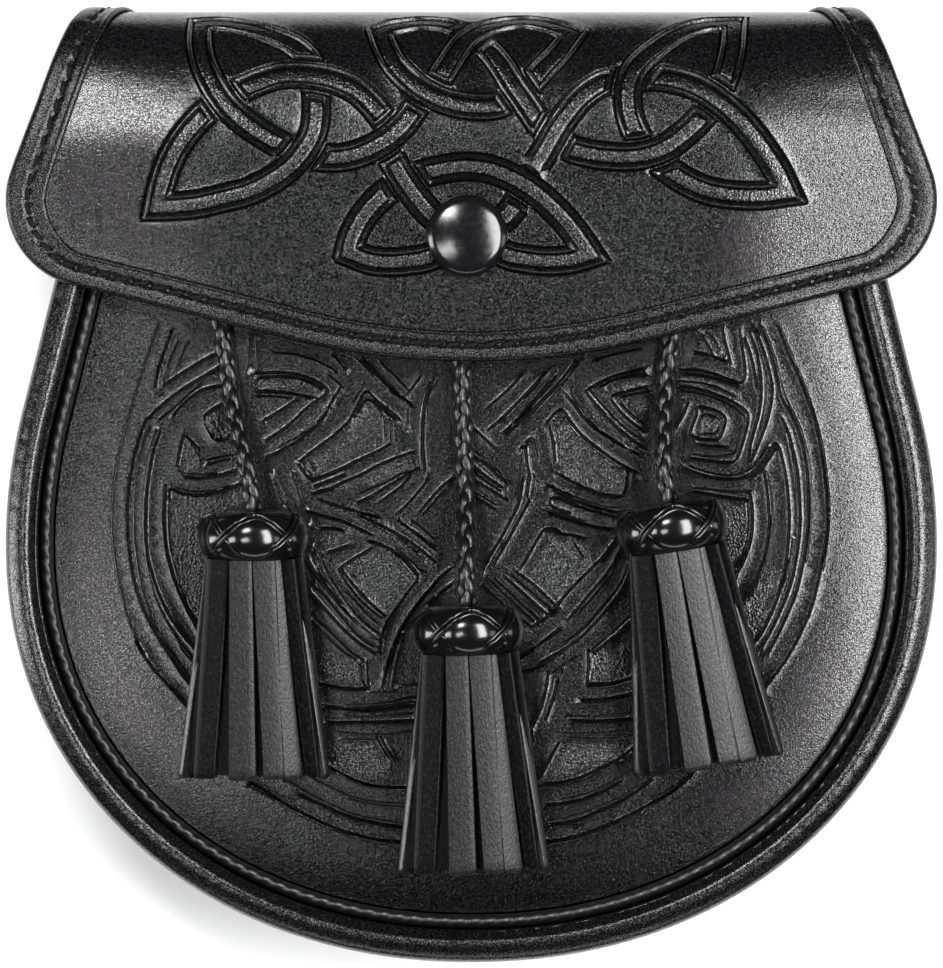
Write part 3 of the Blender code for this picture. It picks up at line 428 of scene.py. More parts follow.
        (RIDGE, 12.5, 1.6, 12.3, -0.8, 11.7, -3.2),
        (GROOVE, 10.3, 0.8, 9.7, -3.6, 7.7, -7.6, 5.7, -11.2, 3.7, -14.4, 2.1, -17.6),
        (GROOVE, 11.7, -3.2, 9.3, -7.6, 6.9, -12.0, 4.5, -16.0),
        (RIDGE, 6.5, -11.8, 5.3, -13.8, 3.3, -16.8),
        (GROOVE, 0.7, -2.4, 2.5, -3.6, 4.7, -5.0),
        (RIDGE, 0.9, -1.8, 2.9, -3.0, 4.5, -4.0),
    ),
    "right field": (
        (GROOVE, 14.9, 12.0, 16.5, 14.0, 17.9, 15.4, 18.9, 14.0, 20.5, 11.6, 22.5, 9.4, 25.3, 7.2, 28.5, 4.8,
         31.7, 3.0, 33.7, 2.0),
        (RIDGE, 17.7, 14.6, 18.9, 12.8, 20.5, 10.8, 22.5, 8.6, 25.7, 6.2, 28.5, 4.2, 30.9, 2.8),
        (GROOVE, 31.3, 2.4, 31.1, -0.4, 30.3, -2.6, 28.9, -2.5, 25.3, -1.8, 22.1, -0.6, 19.3, 0.8, 17.1, 2.2),
        (RIDGE, 32.1, 2.4, 31.7, -0.4, 30.9, -2.6),
        (RIDGE, 17.3, 1.4, 19.7, 0.0, 22.5, -1.2),
        (GROOVE, 15.7, 11.2, 16.5, 8.0, 16.7, 4.8),
        (RIDGE, 16.5, 11.8, 17.3, 8.6, 17.5, 5.6),
        (GROOVE, 18.9, 18.0, 20.5, 16.0, 22.1, 13.6, 24.5, 11.2, 27.7, 9.2, 30.9, 7.2, 34.1, 5.6),
        (RIDGE, 19.9, 18.0, 21.3, 15.8, 22.9, 13.4, 25.3, 11.0, 28.3, 9.0, 31.7, 6.8),
        (GROOVE, 22.9, 18.4, 24.5, 16.4, 26.9, 13.6, 29.3, 11.2, 31.7, 9.2, 34.9, 7.0),
        (RIDGE, 23.7, 18.8, 25.7, 16.4, 27.7, 14.2, 30.1, 11.7, 32.9, 9.6, 34.9, 8.2),
        (GROOVE, 22.9, 18.6, 24.9, 20.0, 27.3, 21.2, 30.9, 22.4, 34.9, 23.2),
        (RIDGE, 25.3, 19.6, 28.5, 21.2, 31.7, 22.0, 34.9, 22.4),
        (GROOVE, 25.7, 19.4, 27.7, 20.6, 30.5, 21.5, 34.9, 21.8),
        (GROOVE, 34.9, 19.4, 32.5, 19.0, 30.1, 18.2, 27.5, 17.6, 29.3, 15.0, 31.7, 12.6, 34.9, 10.4),
        (RIDGE, 34.9, 18.4, 32.1, 18.0, 29.1, 17.2, 31.3, 14.6, 34.9, 11.6),
        (RIDGE, 25.3, 24.8, 28.5, 26.0, 31.7, 26.6, 33.7, 27.0),
        (RIDGE, 16.1, -0.4, 19.7, -2.2, 23.7, -3.8, 27.7, -4.8, 30.1, -4.8),
        (GROOVE, 16.5, -1.4, 19.7, -3.0, 23.7, -4.4, 27.7, -5.4, 29.7, -5.7),
        (GROOVE, 28.9, -6.6, 25.3, -5.8, 22.1, -4.8, 19.7, -3.8, 17.7, -2.8, 15.7, -2.6, 15.7, -4.4, 17.3, -5.1,
         19.7, -5.8),
        (GROOVE, 15.3, -5.8, 17.3, -6.4, 20.1, -7.4, 22.9, -8.2, 25.7, -8.8, 28.5, -9.0),
        (RIDGE, 15.3, -5.2, 17.3, -5.8, 20.1, -6.8, 22.9, -7.6),
        (GROOVE, 15.1, -0.2, 17.3, -1.0, 19.7, -2.4),
    ),
    "right diamond": (
        (GROOVE, 17.7, -9.4, 14.7, -8.6, 12.9, -11.6, 10.9, -15.2, 9.7, -17.0),
        (GROOVE, 15.5, -9.2, 18.5, -10.1, 20.5, -10.3, 22.5, -10.8),
        (RIDGE, 20.1, -10.8, 21.1, -12.6, 22.3, -14.6),
        (GROOVE, 28.5, -11.6, 26.9, -14.0, 24.5, -16.4, 22.1, -18.8, 19.7, -21.2, 17.7, -23.6, 16.9, -24.8),
        (GROOVE, 8.7, -17.4, 11.3, -19.2, 13.7, -21.2, 15.7, -23.2, 17.5, -24.8),
        (RIDGE, 7.5, -17.8, 10.1, -20.0, 12.9, -22.4, 15.9, -25.0),
        (GROOVE, 6.7, -18.6, 9.7, -21.2, 12.5, -23.8, 15.5, -26.4),
        (RIDGE, 4.5, -18.8, 6.9, -21.0, 9.7, -23.6, 13.3, -26.8),
        (RIDGE, 3.7, -19.2, 6.1, -21.6, 8.9, -24.2, 12.5, -27.4),
        (RIDGE, 2.5, -20.4, 4.9, -22.8, 8.5, -25.6, 11.7, -28.4),
        (GROOVE, 11.7, -28.8, 13.7, -27.6, 15.7, -26.2),
        (GROOVE, 29.7, -13.2, 28.5, -16.0, 26.1, -19.2, 23.7, -22.0, 21.3, -24.8, 19.3, -27.2),
        (RIDGE, 29.3, -15.2, 27.7, -18.2, 25.7, -21.0, 23.3, -23.8, 20.5, -26.6),
        (RIDGE, 31.3, -16.4, 30.1, -19.6, 27.7, -22.8, 25.3, -25.6, 22.9, -28.4, 20.5, -30.4, 18.1, -32.2,
         15.7, -33.2),
        (GROOVE, 31.9, -17.2, 30.7, -20.4, 28.3, -23.6, 25.9, -26.6, 22.7, -30.0, 19.7, -32.4, 16.5, -34.2,
         13.3, -36.0),
        (GROOVE, 17.7, -28.8, 15.7, -30.4, 13.3, -32.4, 10.9, -34.0, 8.9, -35.6),
        (RIDGE, 17.3, -29.6, 14.9, -31.4, 12.9, -33.0, 10.5, -34.8),
        (GROOVE, 20.5, -31.6, 18.1, -33.6, 15.3, -35.8, 12.1, -37.2, 8.9, -37.8),
        (RIDGE, 31.7, -26.4, 29.3, -28.8, 26.9, -30.8, 24.1, -33.2),
        (GROOVE, 32.1, -27.2, 29.7, -29.6, 27.3, -31.6, 24.5, -33.8),
        (RIDGE, 20.5, -34.8, 18.5, -36.2, 16.5, -37.6),
        (GROOVE, 23.3, -33.2, 23.5, -36.4, 23.1, -40.4),
    ),
    "lower right levels": (
        (GROOVE, 15.3, -38.4, 14.9, -41.6, 13.7, -45.6, 12.1, -48.8),
        (GROOVE, 17.3, -39.2, 16.5, -42.8, 14.9, -47.2),
        (RIDGE, 18.3, -36.8, 17.7, -40.0, 16.9, -43.2),
        (GROOVE, 23.3, -40.0, 27.7, -40.0, 32.1, -38.8),
        (RIDGE, 23.3, -40.8, 27.7, -40.6, 32.1, -39.4),
        (GROOVE, 22.1, -43.2, 25.7, -43.2, 29.3, -42.6, 32.3, -41.8),
        (RIDGE, 21.9, -44.0, 25.7, -44.0, 29.3, -43.4, 32.3, -42.6),
        (RIDGE, 19.9, -46.4, 23.7, -46.7, 27.7, -46.4, 32.5, -45.9),
        (GROOVE, 20.1, -47.3, 24.5, -47.5, 29.3, -47.2, 32.7, -46.8),
        (RIDGE, 18.9, -50.0, 23.7, -50.0, 28.9, -49.8, 32.7, -49.6),
        (RIDGE, 19.3, -50.8, 23.7, -51.1, 29.3, -51.0, 32.7, -50.4),
        (GROOVE, 17.3, -52.0, 15.7, -55.2, 13.7, -58.8),
        (GROOVE, 13.7, -60.0, 17.7, -59.8, 21.7, -58.8, 25.3, -57.1, 29.3, -55.2, 31.7, -53.4, 32.9, -52.2),
        (RIDGE, 13.3, -60.8, 18.1, -60.6, 22.1, -59.6, 25.7, -58.0),
        (RIDGE, 30.5, -55.2, 33.1, -52.6),
    ),
    "lower right ring": (
        (RIDGE, 18.1, -63.2, 21.7, -62.6, 25.7, -61.0, 29.7, -58.8, 33.1, -56.4),
        (GROOVE, 14.9, -64.2, 18.5, -63.9, 22.1, -63.2, 26.1, -61.6, 30.1, -59.4),
        (RIDGE, 14.9, -67.6, 18.5, -67.0, 22.1, -66.0, 26.1, -64.4, 29.7, -62.8, 32.9, -60.8, 35.7, -58.8,
         38.3, -57.0),
        (GROOVE, 15.3, -68.2, 18.9, -67.8, 22.5, -66.8, 26.1, -65.2, 29.7, -63.6, 33.3, -61.4, 36.1, -59.2),
        (GROOVE, 15.3, -71.6, 18.9, -71.0, 22.9, -69.8, 26.9, -68.4, 30.5, -66.8, 33.7, -65.2, 36.5, -63.6,
         39.7, -62.0, 42.9, -59.4, 45.1, -57.0),
        (RIDGE, 15.5, -72.2, 19.3, -71.6, 23.3, -70.5, 27.3, -69.1, 30.9, -67.5, 34.1, -65.9),
        (RIDGE, 44.5, -56.4, 42.5, -59.0, 39.7, -61.2, 36.1, -63.0),
    ),
    "right key": (
        (GROOVE, 50.3, 30.4, 51.1, 27.2, 51.9, 24.0),
        (GROOVE, 45.1, 26.4, 47.7, 25.8, 51.1, 24.6),
        (RIDGE, 46.5, 29.2, 48.1, 26.4),
        (RIDGE, 48.1, 30.0, 49.7, 26.8),
        (GROOVE, 53.7, 30.4, 54.3, 26.8, 54.9, 22.4, 54.5, 20.0, 51.7, 20.9, 48.5, 22.1, 45.3, 22.9, 41.7, 22.8),
        (GROOVE, 42.1, 22.2, 46.9, 21.7, 50.1, 20.8, 53.3, 19.6),
        (RIDGE, 41.7, 20.6, 45.7, 20.3, 49.3, 19.4, 52.9, 17.6),
        (GROOVE, 41.7, 19.6, 45.7, 19.0, 48.9, 18.0, 51.7, 16.8, 54.1, 15.4, 55.5, 14.2, 55.3, 12.0, 54.5, 8.8,
         53.7, 6.4, 53.1, 4.8, 51.7, 4.2, 47.7, 4.6, 43.7, 5.2),
        (RIDGE, 42.1, 18.6, 45.7, 18.2, 48.9, 17.2, 51.7, 16.0, 54.5, 14.0, 54.3, 12.0, 53.5, 8.8, 52.7, 5.8,
         48.1, 5.4, 44.5, 6.0),
        (GROOVE, 43.3, 16.0, 42.5, 14.0, 40.9, 11.2),
        (GROOVE, 43.7, 9.8, 44.3, 12.0, 45.3, 14.2, 44.7, 15.6, 47.7, 15.2, 50.1, 14.2, 51.1, 13.0, 50.5, 11.2,
         49.7, 8.8, 46.9, 8.8, 43.7, 9.8),
        (RIDGE, 45.5, 11.0, 46.3, 14.0, 48.9, 13.6, 49.9, 12.6, 49.1, 10.0, 46.3, 10.0),
        (GROOVE, 44.9, 8.0, 47.7, 7.6, 51.1, 7.4),
        (GROOVE, 42.9, 3.0, 46.1, 1.8, 49.7, 1.0, 53.7, 1.0, 56.1, 2.0, 58.1, 4.2, 59.7, 6.8, 60.9, 8.6,
         61.7, 7.2, 62.5, 4.0, 63.1, 0.8, 63.5, -3.2, 63.7, -7.2, 63.5, -11.2, 63.1, -15.2, 62.3, -19.2,
         61.3, -22.8, 59.7, -26.8, 58.1, -30.0, 56.1, -32.4),
        (RIDGE, 43.7, 3.6, 46.5, 2.6, 50.1, 1.8, 53.5, 1.8, 55.7, 2.8, 57.3, 4.4, 59.3, 7.6),
        (GROOVE, 60.9, 7.0, 59.3, 4.6, 57.7, 2.4, 55.7, 1.0),
        (GROOVE, 55.1, -3.2, 50.9, -2.6, 44.1, -1.4),
        (RIDGE, 44.5, -0.8, 47.7, -1.1, 51.7, -1.5, 55.5, -1.5),
        (GROOVE, 55.9, -2.4, 56.3, -5.2, 56.3, -9.2, 55.7, -12.4, 54.5, -15.6, 53.3, -17.6, 52.7, -19.8),
        (RIDGE, 55.3, -3.8, 55.6, -7.2, 55.4, -10.8, 54.3, -14.0, 52.9, -16.6),
    ),
    "ring, right": (
        (GROOVE, 61.3, 31.6, 62.5, 28.4, 63.7, 25.2, 65.3, 22.0, 66.9, 18.0, 68.5, 13.6, 69.7, 8.8, 70.5, 3.6,
         71.1, -1.6, 71.3, -5.2, 71.1, -10.2, 70.3, -15.2, 68.9, -22.0, 67.7, -26.0, 65.7, -30.4, 63.3, -34.8,
         60.9, -38.0, 58.5, -41.2),
        (RIDGE, 61.9, 31.6, 63.1, 28.4, 64.5, 25.0, 66.1, 21.4, 67.7, 17.2, 69.1, 12.8, 70.3, 8.0, 71.1, 2.8,
         71.7, -3.2, 71.7, -7.2, 71.3, -11.6, 70.5, -16.8),
        (GROOVE, 57.7, 31.6, 58.9, 29.2, 60.1, 25.6, 61.1, 21.6, 61.9, 17.6, 63.7, 14.4, 65.3, 11.2, 66.5, 7.2,
         67.3, 2.4, 67.5, -3.2, 67.3, -9.6, 66.7, -14.4, 65.3, -21.2, 63.7, -25.2, 61.7, -29.6, 59.3, -34.0),
        (RIDGE, 58.3, 31.6, 59.5, 29.0, 60.7, 25.4, 61.7, 21.6, 62.7, 17.6, 64.5, 14.2, 65.9, 11.2, 67.1, 7.2,
         67.9, 2.4, 68.1, -3.2, 67.9, -9.6, 67.1, -15.2),
        (GROOVE, 57.1, 30.4, 58.5, 26.8, 59.5, 23.2, 60.3, 19.6, 60.1, 16.4, 59.3, 12.8, 58.1, 9.6, 56.5, 5.6,
         55.5, 3.6, 55.7, 7.2, 56.5, 10.4, 57.5, 13.6, 58.1, 17.6, 57.9, 22.4, 57.1, 26.4, 55.7, 30.4),
        (GROOVE, 54.7, 29.2, 55.9, 26.0, 56.7, 22.4, 57.1, 19.2),
        (RIDGE, 56.5, 30.4, 57.7, 26.4, 58.7, 22.8, 59.1, 19.2, 58.7, 15.2, 57.7, 11.2),
        (GROOVE, 62.1, 13.2, 63.3, 10.8, 64.3, 7.2, 65.3, 2.8, 65.7, -2.4, 65.9, -7.2, 65.5, -12.2, 64.3, -19.2,
         62.5, -24.0, 60.5, -28.4, 58.1, -32.8),
        (RIDGE, 62.7, 11.2, 63.7, 7.2, 64.5, 3.2, 64.9, -1.2),
        (GROOVE, 58.5, 2.8, 59.1, -0.4, 59.5, -4.0, 59.7, -8.0, 59.3, -11.6, 58.5, -15.2, 57.3, -18.4,
         55.7, -21.6, 54.5, -24.0),
        (RIDGE, 59.3, 2.0, 59.9, -1.2, 60.3, -5.2, 60.2, -8.8, 59.7, -12.4, 58.9, -15.8, 57.3, -19.6, 55.7, -22.8),
        (RIDGE, 64.3, -11.2, 63.9, -14.4, 63.1, -18.0, 61.9, -21.6),
    ),
}
# The stippled grounds between them, by their corners
STIPPLED = (
    (-59.1, -2.8, -47.1, -2.0, -45.5, -4.8, -53.3, -8.2, -53.7, -27.2, -56.3, -24.8, -58.3, -20.8, -59.5, -16.2,
     -59.9, -9.2),
    (-56.9, 8.8, -54.3, 4.8, -53.1, 3.6, -57.9, 2.4, -58.3, 3.6),
    (-52.7, 12.8, -49.5, 14.8, -48.7, 9.6, -51.3, 8.8),
    (-41.9, 16.8, -36.3, 16.8, -40.7, 14.0),
    (-41.9, 21.2, -34.3, 20.6, -30.7, 18.8, -42.3, 19.2),
    (-34.3, 8.4, -29.9, 12.0, -27.1, 16.4, -29.1, 16.4, -32.3, 13.2, -37.9, 9.6, -40.7, 8.0, -40.7, 6.4,
     -37.5, 7.6),
    (-20.7, 16.4, -17.9, 14.4, -17.7, 8.4, -26.3, 4.0, -31.5, 1.6, -33.5, 3.6, -26.3, 9.6, -23.1, 13.6),
    (-31.1, -1.2, -25.3, 0.8, -13.3, 5.6, -11.7, 3.6, -17.5, 0.4, -23.9, -1.6),
    (-29.9, -3.2, -17.9, -7.2, -8.3, -14.4, -6.7, -15.6, -7.5, -16.4, -13.5, -12.4, -19.9, -8.8, -28.3, -5.6),
    (-29.5, -9.6, -25.1, -9.6, -26.7, -12.4, -28.7, -12.8),
    (-25.1, -16.4, -19.9, -13.2, -15.1, -15.2, -11.5, -18.8, -15.9, -24.4, -17.9, -26.0, -22.3, -21.2),
    (-30.3, -33.6, -26.3, -34.4, -22.3, -36.4, -22.3, -40.0, -29.9, -39.2),
    (-28.7, -52.0, -19.1, -52.0, -15.9, -57.2, -18.3, -59.6, -23.1, -58.8, -28.3, -56.0),
    (17.7, 13.2, 20.1, 10.8, 25.7, 5.6, 30.9, 2.0, 30.1, -2.0, 23.7, -0.8, 18.1, 2.0, 16.9, 8.8),
    (16.5, -3.2, 18.9, -4.0, 25.7, -6.4, 28.5, -6.8, 28.1, -8.4, 23.7, -7.6, 16.9, -5.2),
    (15.3, -10.0, 20.5, -11.2, 24.9, -15.6, 17.7, -23.2, 10.9, -17.6),
    (24.1, 17.6, 26.9, 14.4, 33.7, 9.2, 33.7, 7.2, 26.9, 10.8, 23.3, 14.8),
    (25.7, 19.2, 34.9, 21.2, 34.9, 19.6, 26.9, 18.0),
    (30.1, 16.4, 34.9, 17.6, 34.9, 12.8),
    (23.7, -33.6, 31.3, -32.8, 31.3, -38.4, 24.1, -39.6),
    (18.5, -51.6, 32.1, -51.6, 29.3, -54.8, 21.7, -58.0, 15.3, -59.2),
    (45.7, 28.8, 50.1, 29.6, 50.9, 25.6, 45.7, 26.8),
    (46.1, 13.2, 49.3, 12.8, 48.9, 10.4, 45.7, 10.8),
    (42.1, 21.6, 46.9, 21.0, 53.3, 18.8, 54.5, 16.4, 48.9, 19.2, 42.1, 20.0),
    (50.5, -3.6, 54.9, -3.6, 55.3, -9.2, 53.7, -14.8, 51.3, -15.2, 50.5, -11.2),
    (54.1, -25.6, 59.3, -17.2, 62.5, -17.6, 58.5, -28.4, 56.1, -31.2),
)


def metres(point):
    return Vector(point) * MM


def srgb(code):
    """Linear colour from an sRGB hex value."""
    parts = [int(code[i : i + 2], 16) / 255 for i in (1, 3, 5)]
    return (*(c / 12.92 if c <= 0.04045 else ((c + 0.055) / 1.055) ** 2.4 for c in parts), 1.0)


def add_to_scene(obj):
    bpy.context.scene.collection.objects.link(obj)
    return obj


# Shader nodes


def node(tree, kind, inputs=None, **settings):
    """Adds a node. An input that is another node's socket is linked, and any other is set."""
    made = tree.nodes.new(kind)
    for name, value in settings.items():
        setattr(made, name, value)
    for name, value in (inputs or {}).items():
        if isinstance(value, bpy.types.NodeSocket):
            tree.links.new(value, made.inputs[name])
        else:
            made.inputs[name].default_value = value
    return made


def ramp(tree, source, stops):
    """A colour ramp through (place, hex colour or number) stops."""
    made = node(tree, "ShaderNodeValToRGB", {"Fac": source})
    elements = made.color_ramp.elements
    while len(elements) < len(stops):
        elements.new(0.5)
    for element, (place, value) in zip(elements, stops):
        element.position = place
        element.color = srgb(value) if isinstance(value, str) else (value, value, value, 1.0)
    return made.outputs["Color"]


def object_place(tree):
    return node(tree, "ShaderNodeTexCoord").outputs["Object"]


def uv_place(tree):
    return node(tree, "ShaderNodeUVMap", uv_map="along").outputs["UV"]


def painted(tree, attribute):
    return node(tree, "ShaderNodeAttribute", attribute_name=attribute).outputs["Fac"]


def math_node(tree, operation, *values):
    return node(tree, "ShaderNodeMath", dict(enumerate(values)), operation=operation).outputs[0]


def noise(tree, place, scale, detail, **more):
    """Noise with this many lumps to the metre."""
    inputs = {"Vector": place, "Scale": scale, "Detail": detail, **more}
    return node(tree, "ShaderNodeTexNoise", inputs).outputs["Fac"]


def slanted_ridges(tree, pitch, slant, **more):
    """Ridges this many mm apart, which run round a piece at this slant in degrees."""
    turned = {"Vector": uv_place(tree), "Rotation": (0.0, 0.0, math.radians(slant))}
    place = node(tree, "ShaderNodeMapping", turned).outputs[0]
    inputs = {"Vector": place, "Scale": 1000.0 / pitch / 20 * math.pi, **more}
    return node(tree, "ShaderNodeTexWave", inputs).outputs["Fac"]


def bump(tree, height, distance, normal=None):
    """Relief this many metres high, over the relief that an earlier bump gave."""
    inputs = {"Height": height, "Strength": 1.0, "Distance": distance}
    if normal is not None:
        inputs["Normal"] = normal
    return node(tree, "ShaderNodeBump", inputs).outputs["Normal"]


def new_finish(name, **values):
    """A material with a Principled shader, whose plain values are set on its sockets."""
    material = bpy.data.materials.new(name)
    material.use_nodes = True
    surface = material.node_tree.nodes["Principled BSDF"]
    for socket, value in values.items():
        surface.inputs[socket.replace("_", " ")].default_value = value
    return material, material.node_tree, surface


def feed(tree, surface, **sources):
    """Links nodes' outputs to the shader's sockets."""
    for socket, source in sources.items():
        tree.links.new(source, surface.inputs[socket.replace("_", " ")])


# Camera and light


def camera():
    data = bpy.data.cameras.new("camera")
    data.lens = FOCAL_LENGTH
    data.sensor_width = 36.0
    data.clip_start, data.clip_end = 0.1, 10.0
    placed = add_to_scene(bpy.data.objects.new("camera", data))
    placed.location.z = CAMERA_HEIGHT * MM
    bpy.context.scene.camera = placed


def lamp(name, place, size, power, shape):
    """A soft light that points at the pouch. Place and size are in mm."""
    data = bpy.data.lights.new(name, "AREA")
    data.shape = shape
    data.size, data.size_y = size[0] * MM, size[1] * MM
    data.energy = power
    placed = add_to_scene(bpy.data.objects.new(name, data))
    placed.location = metres(place)
    placed.rotation_euler = (-placed.location).to_track_quat("-Z", "Y").to_euler()


def studio():
    bpy.ops.mesh.primitive_plane_add(size=FLOOR_SIZE * MM)
    floor = bpy.context.object
    floor.name = "floor"
    # Paper: a matt white that is all but even
    paper, tree, surface = new_finish("matt white paper", Roughness=0.9, Specular_IOR_Level=0.1)
    fibres = node(tree, "ShaderNodeTexNoise", {"Scale": 40.0, "Detail": 2.0}).outputs["Fac"]
    feed(tree, surface, Base_Color=ramp(tree, fibres, ((0.3, "#fafafa"), (0.7, "#fcfcfc"))))
    floor.data.materials.append(paper)
    for row in LAMPS:
        lamp(*row)
    world = bpy.data.worlds.new("studio")
    bpy.context.scene.world = world
    world.use_nodes = True
    backdrop = world.node_tree.nodes["Background"]
    backdrop.inputs["Color"].default_value = srgb("#e8eaee")
    backdrop.inputs["Strength"].default_value = 0.06
    bpy.context.scene.view_settings.view_transform = "Standard"


# Lines and surfaces


def lengths_along(points):
    """How far along a line each of its points lies."""
    return np.concatenate([[0.0], np.cumsum(np.linalg.norm(np.diff(points, axis=0), axis=1))])


def resampled(points, spacing):
    """The same line as points that lie at most this far apart, evenly."""
    points = np.asarray(points, float)
    walked = lengths_along(points)
    wanted = np.linspace(0.0, walked[-1], max(math.ceil(walked[-1] / spacing), 1) + 1)
    return np.column_stack([np.interp(wanted, walked, column) for column in points.T])


def smooth_line(points, spacing):
    """A smooth line through the given points."""
    given = np.array(points, float)
    given = np.vstack([2 * given[0] - given[1], given, 2 * given[-1] - given[-2]])
    share = np.arange(16)[:, None] / 16
    spans = []
    for a, b, c, d in zip(given, given[1:], given[2:], given[3:]):
        bend = (2 * a - 5 * b + 4 * c - d) * share**2 + (3 * b - a - 3 * c + d) * share**3
        spans.append((2 * b + (c - a) * share + bend) / 2)
    return resampled(np.vstack([*spans, given[-2]]), spacing)


def through_corners(points, spacing):
    """A line by way of the given corners, each of them a little rounded."""
    line = np.array(points, float)
    for _ in range(2):
        cut = np.stack([0.8 * line[:-1] + 0.2 * line[1:], 0.2 * line[:-1] + 0.8 * line[1:]], axis=1)
        line = np.vstack([line[:1], cut.reshape(-1, 2), line[-1:]])
    return resampled(line, spacing)


def along_line(line, closed=False):
    """Unit directions along a line."""
    if closed:
        way = np.roll(line, -1, axis=0) - np.roll(line, 1, axis=0)
    else:
        way = np.gradient(line, axis=0)
    return way / np.linalg.norm(way, axis=1)[:, None]


def to_the_left(way):
    return np.column_stack([-way[:, 1], way[:, 0]])


def mirrored_round(half):
    """A line symmetric about X = 0, from its right half, which begins at X = 0."""
    return np.vstack([(half * (-1, 1))[:0:-1], half])


def smooth_step(share):
    return share * share * (3 - 2 * share)


def finish_piece(obj, nodes=()):
    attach(obj, "root")
    if nodes:
        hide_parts(*nodes)
    return obj


def new_piece(name, points, faces, finish, uv=None, attributes=None, sharp=40.0):
    """A mesh object from points in mm. Its faces are turned outwards, so the mesh has to be closed."""
    mesh = bpy.data.meshes.new(name)
    mesh.from_pydata((np.asarray(points, float) * MM).tolist(), [], faces)
    if uv is not None:
        layer = mesh.uv_layers.new(name="along")
        layer.data.foreach_set("uv", np.asarray(uv, np.float32).ravel())
    for key, values in (attributes or {}).items():
        painted_on = mesh.attributes.new(key, "FLOAT", "POINT")
        painted_on.data.foreach_set("value", np.asarray(values, np.float32))
    bm = bmesh.new()
    bm.from_mesh(mesh)
    bmesh.ops.recalc_face_normals(bm, faces=bm.faces)
    bm.to_mesh(mesh)
    bm.free()
    mesh.shade_smooth()
    mesh.set_sharp_from_angle(angle=math.radians(sharp))
    mesh.materials.append(finish)
    return add_to_scene(bpy.data.objects.new(name, mesh))


def swept(rings):
    """Points, faces and UVs of a closed skin over rings of points. The UVs are in metres, along it and round it."""
    rings = np.asarray(rings, float)
    count, size = rings.shape[:2]
    middles = rings.mean(axis=1)
    steps = np.linalg.norm(np.roll(middles, -1, axis=0) - middles, axis=1)
    along = np.concatenate([[0.0], np.cumsum(steps)]) * MM
    typical = rings[count // 2]
    sides = np.linalg.norm(np.roll(typical, -1, axis=0) - typical, axis=1)
    around = np.concatenate([[0.0], np.cumsum(sides)]) * MM
    faces, uv = [], []
    for i in range(count - 1):
        for j in range(size):
            beside = (j + 1) % size
            here, after = i * size, (i + 1) * size
            faces.append((here + j, here + beside, after + beside, after + j))
            uv += [(along[i], around[j]), (along[i], around[j + 1])]
            uv += [(along[i + 1], around[j + 1]), (along[i + 1], around[j])]
    faces += [tuple(range(size))[::-1], tuple(range((count - 1) * size, count * size))]
    uv += [(0.0, around[j]) for j in range(size)][::-1] + [(along[-2], around[j]) for j in range(size)]
    return rings.reshape(-1, 3), faces, uv


def together(skins):
    """Joins several (points, faces, uv) skins into one."""
    points, faces, uv, start = [], [], [], 0
    for own_points, own_faces, own_uv in skins:
        points.append(own_points)
        faces += [tuple(start + corner for corner in face) for face in own_faces]
        uv += own_uv
        start += len(own_points)
    return np.vstack(points), faces, uv


def inside_loop(points, loop):
    """Which flat points lie inside a closed loop."""
    loop = np.asarray(loop, float)
    hit = np.zeros(len(points), bool)
    x, y = points[:, 0], points[:, 1]
    for (ax, ay), (bx, by) in zip(loop, np.roll(loop, -1, axis=0)):
        crosses = (ay > y) != (by > y)
        if ay != by:
            hit ^= crosses & (x < (bx - ax) * (y - ay) / (by - ay) + ax)
    return hit


def grid_over(low, high, spacing):
    """Staggered rows of points over a flat box."""
    rows = []
    for i, y in enumerate(np.arange(low[1], high[1], spacing * 0.87)):
        x = np.arange(low[0], high[0], spacing) + (spacing / 2 if i % 2 else 0.0)
        rows.append(np.column_stack([x, np.full(len(x), y)]))
    return np.vstack(rows)


def distance_to(points, line, margin=9.0):
    """How far each point is from a line, for those no further than the margin outside its box."""
    best = np.full(len(points), 1e9)
    low, high = line.min(axis=0) - margin, line.max(axis=0) + margin
    near = np.nonzero(((points > low) & (points < high)).all(axis=1))[0]
    for start in range(0, len(near), 4000):
        chosen = near[start : start + 4000]
        spot = points[chosen][:, None, :]
        a, b = line[:-1][None], line[1:][None]
        step = b - a
        share = np.clip(((spot - a) * step).sum(2) / np.maximum((step**2).sum(2), 1e-12), 0.0, 1.0)
        best[chosen] = np.linalg.norm(a + step * share[:, :, None] - spot, axis=2).min(axis=1)
    return best


def runs(points, stays):
    """The stretches of a row of points that stay."""
    found, current = [], []
    for point, keep in zip(points, stays):
        if keep:
            current.append(point)
        elif current:
            found.append(np.array(current))
            current = []
    if current:
        found.append(np.array(current))
    return found


def band_rows(line, rows, step):
    """(row, points) beside a line, on both its sides."""
    line = resampled(line, step)
    side = to_the_left(along_line(line))
    return [(row, line + side * row * hand) for row in rows for hand in ((1, -1) if row else (1,))]


def triangles_over(loops, lines, loose, hole):
    """Triangles over a flat loop but not over the hole in it, with these lines and loose points in them. Which of
    them stay is told by their middles."""
    points, edges = [], []
    for loop in loops:
        start = len(points)
        points += [tuple(p) for p in loop]
        edges += [(start + i, start + (i + 1) % len(loop)) for i in range(len(loop))]
    for line in lines:
        edges += [(len(points) + i, len(points) + i + 1) for i in range(len(line) - 1)]
        points += [tuple(p) for p in line]
    points += [tuple(p) for p in loose]
    every_triangle = 0
    made = delaunay_2d_cdt([Vector(p) for p in points], edges, [], every_triangle, 1e-4)
    corners, triangles = np.array([tuple(p) for p in made[0]]), np.array(made[2])
    middles = corners[triangles].mean(axis=1)
    stays = inside_loop(middles, loops[0])
    if hole:
        stays &= np.linalg.norm(middles - np.array(hole[0]), axis=1) > hole[1] * 0.99
    return corners, triangles[stays].tolist()


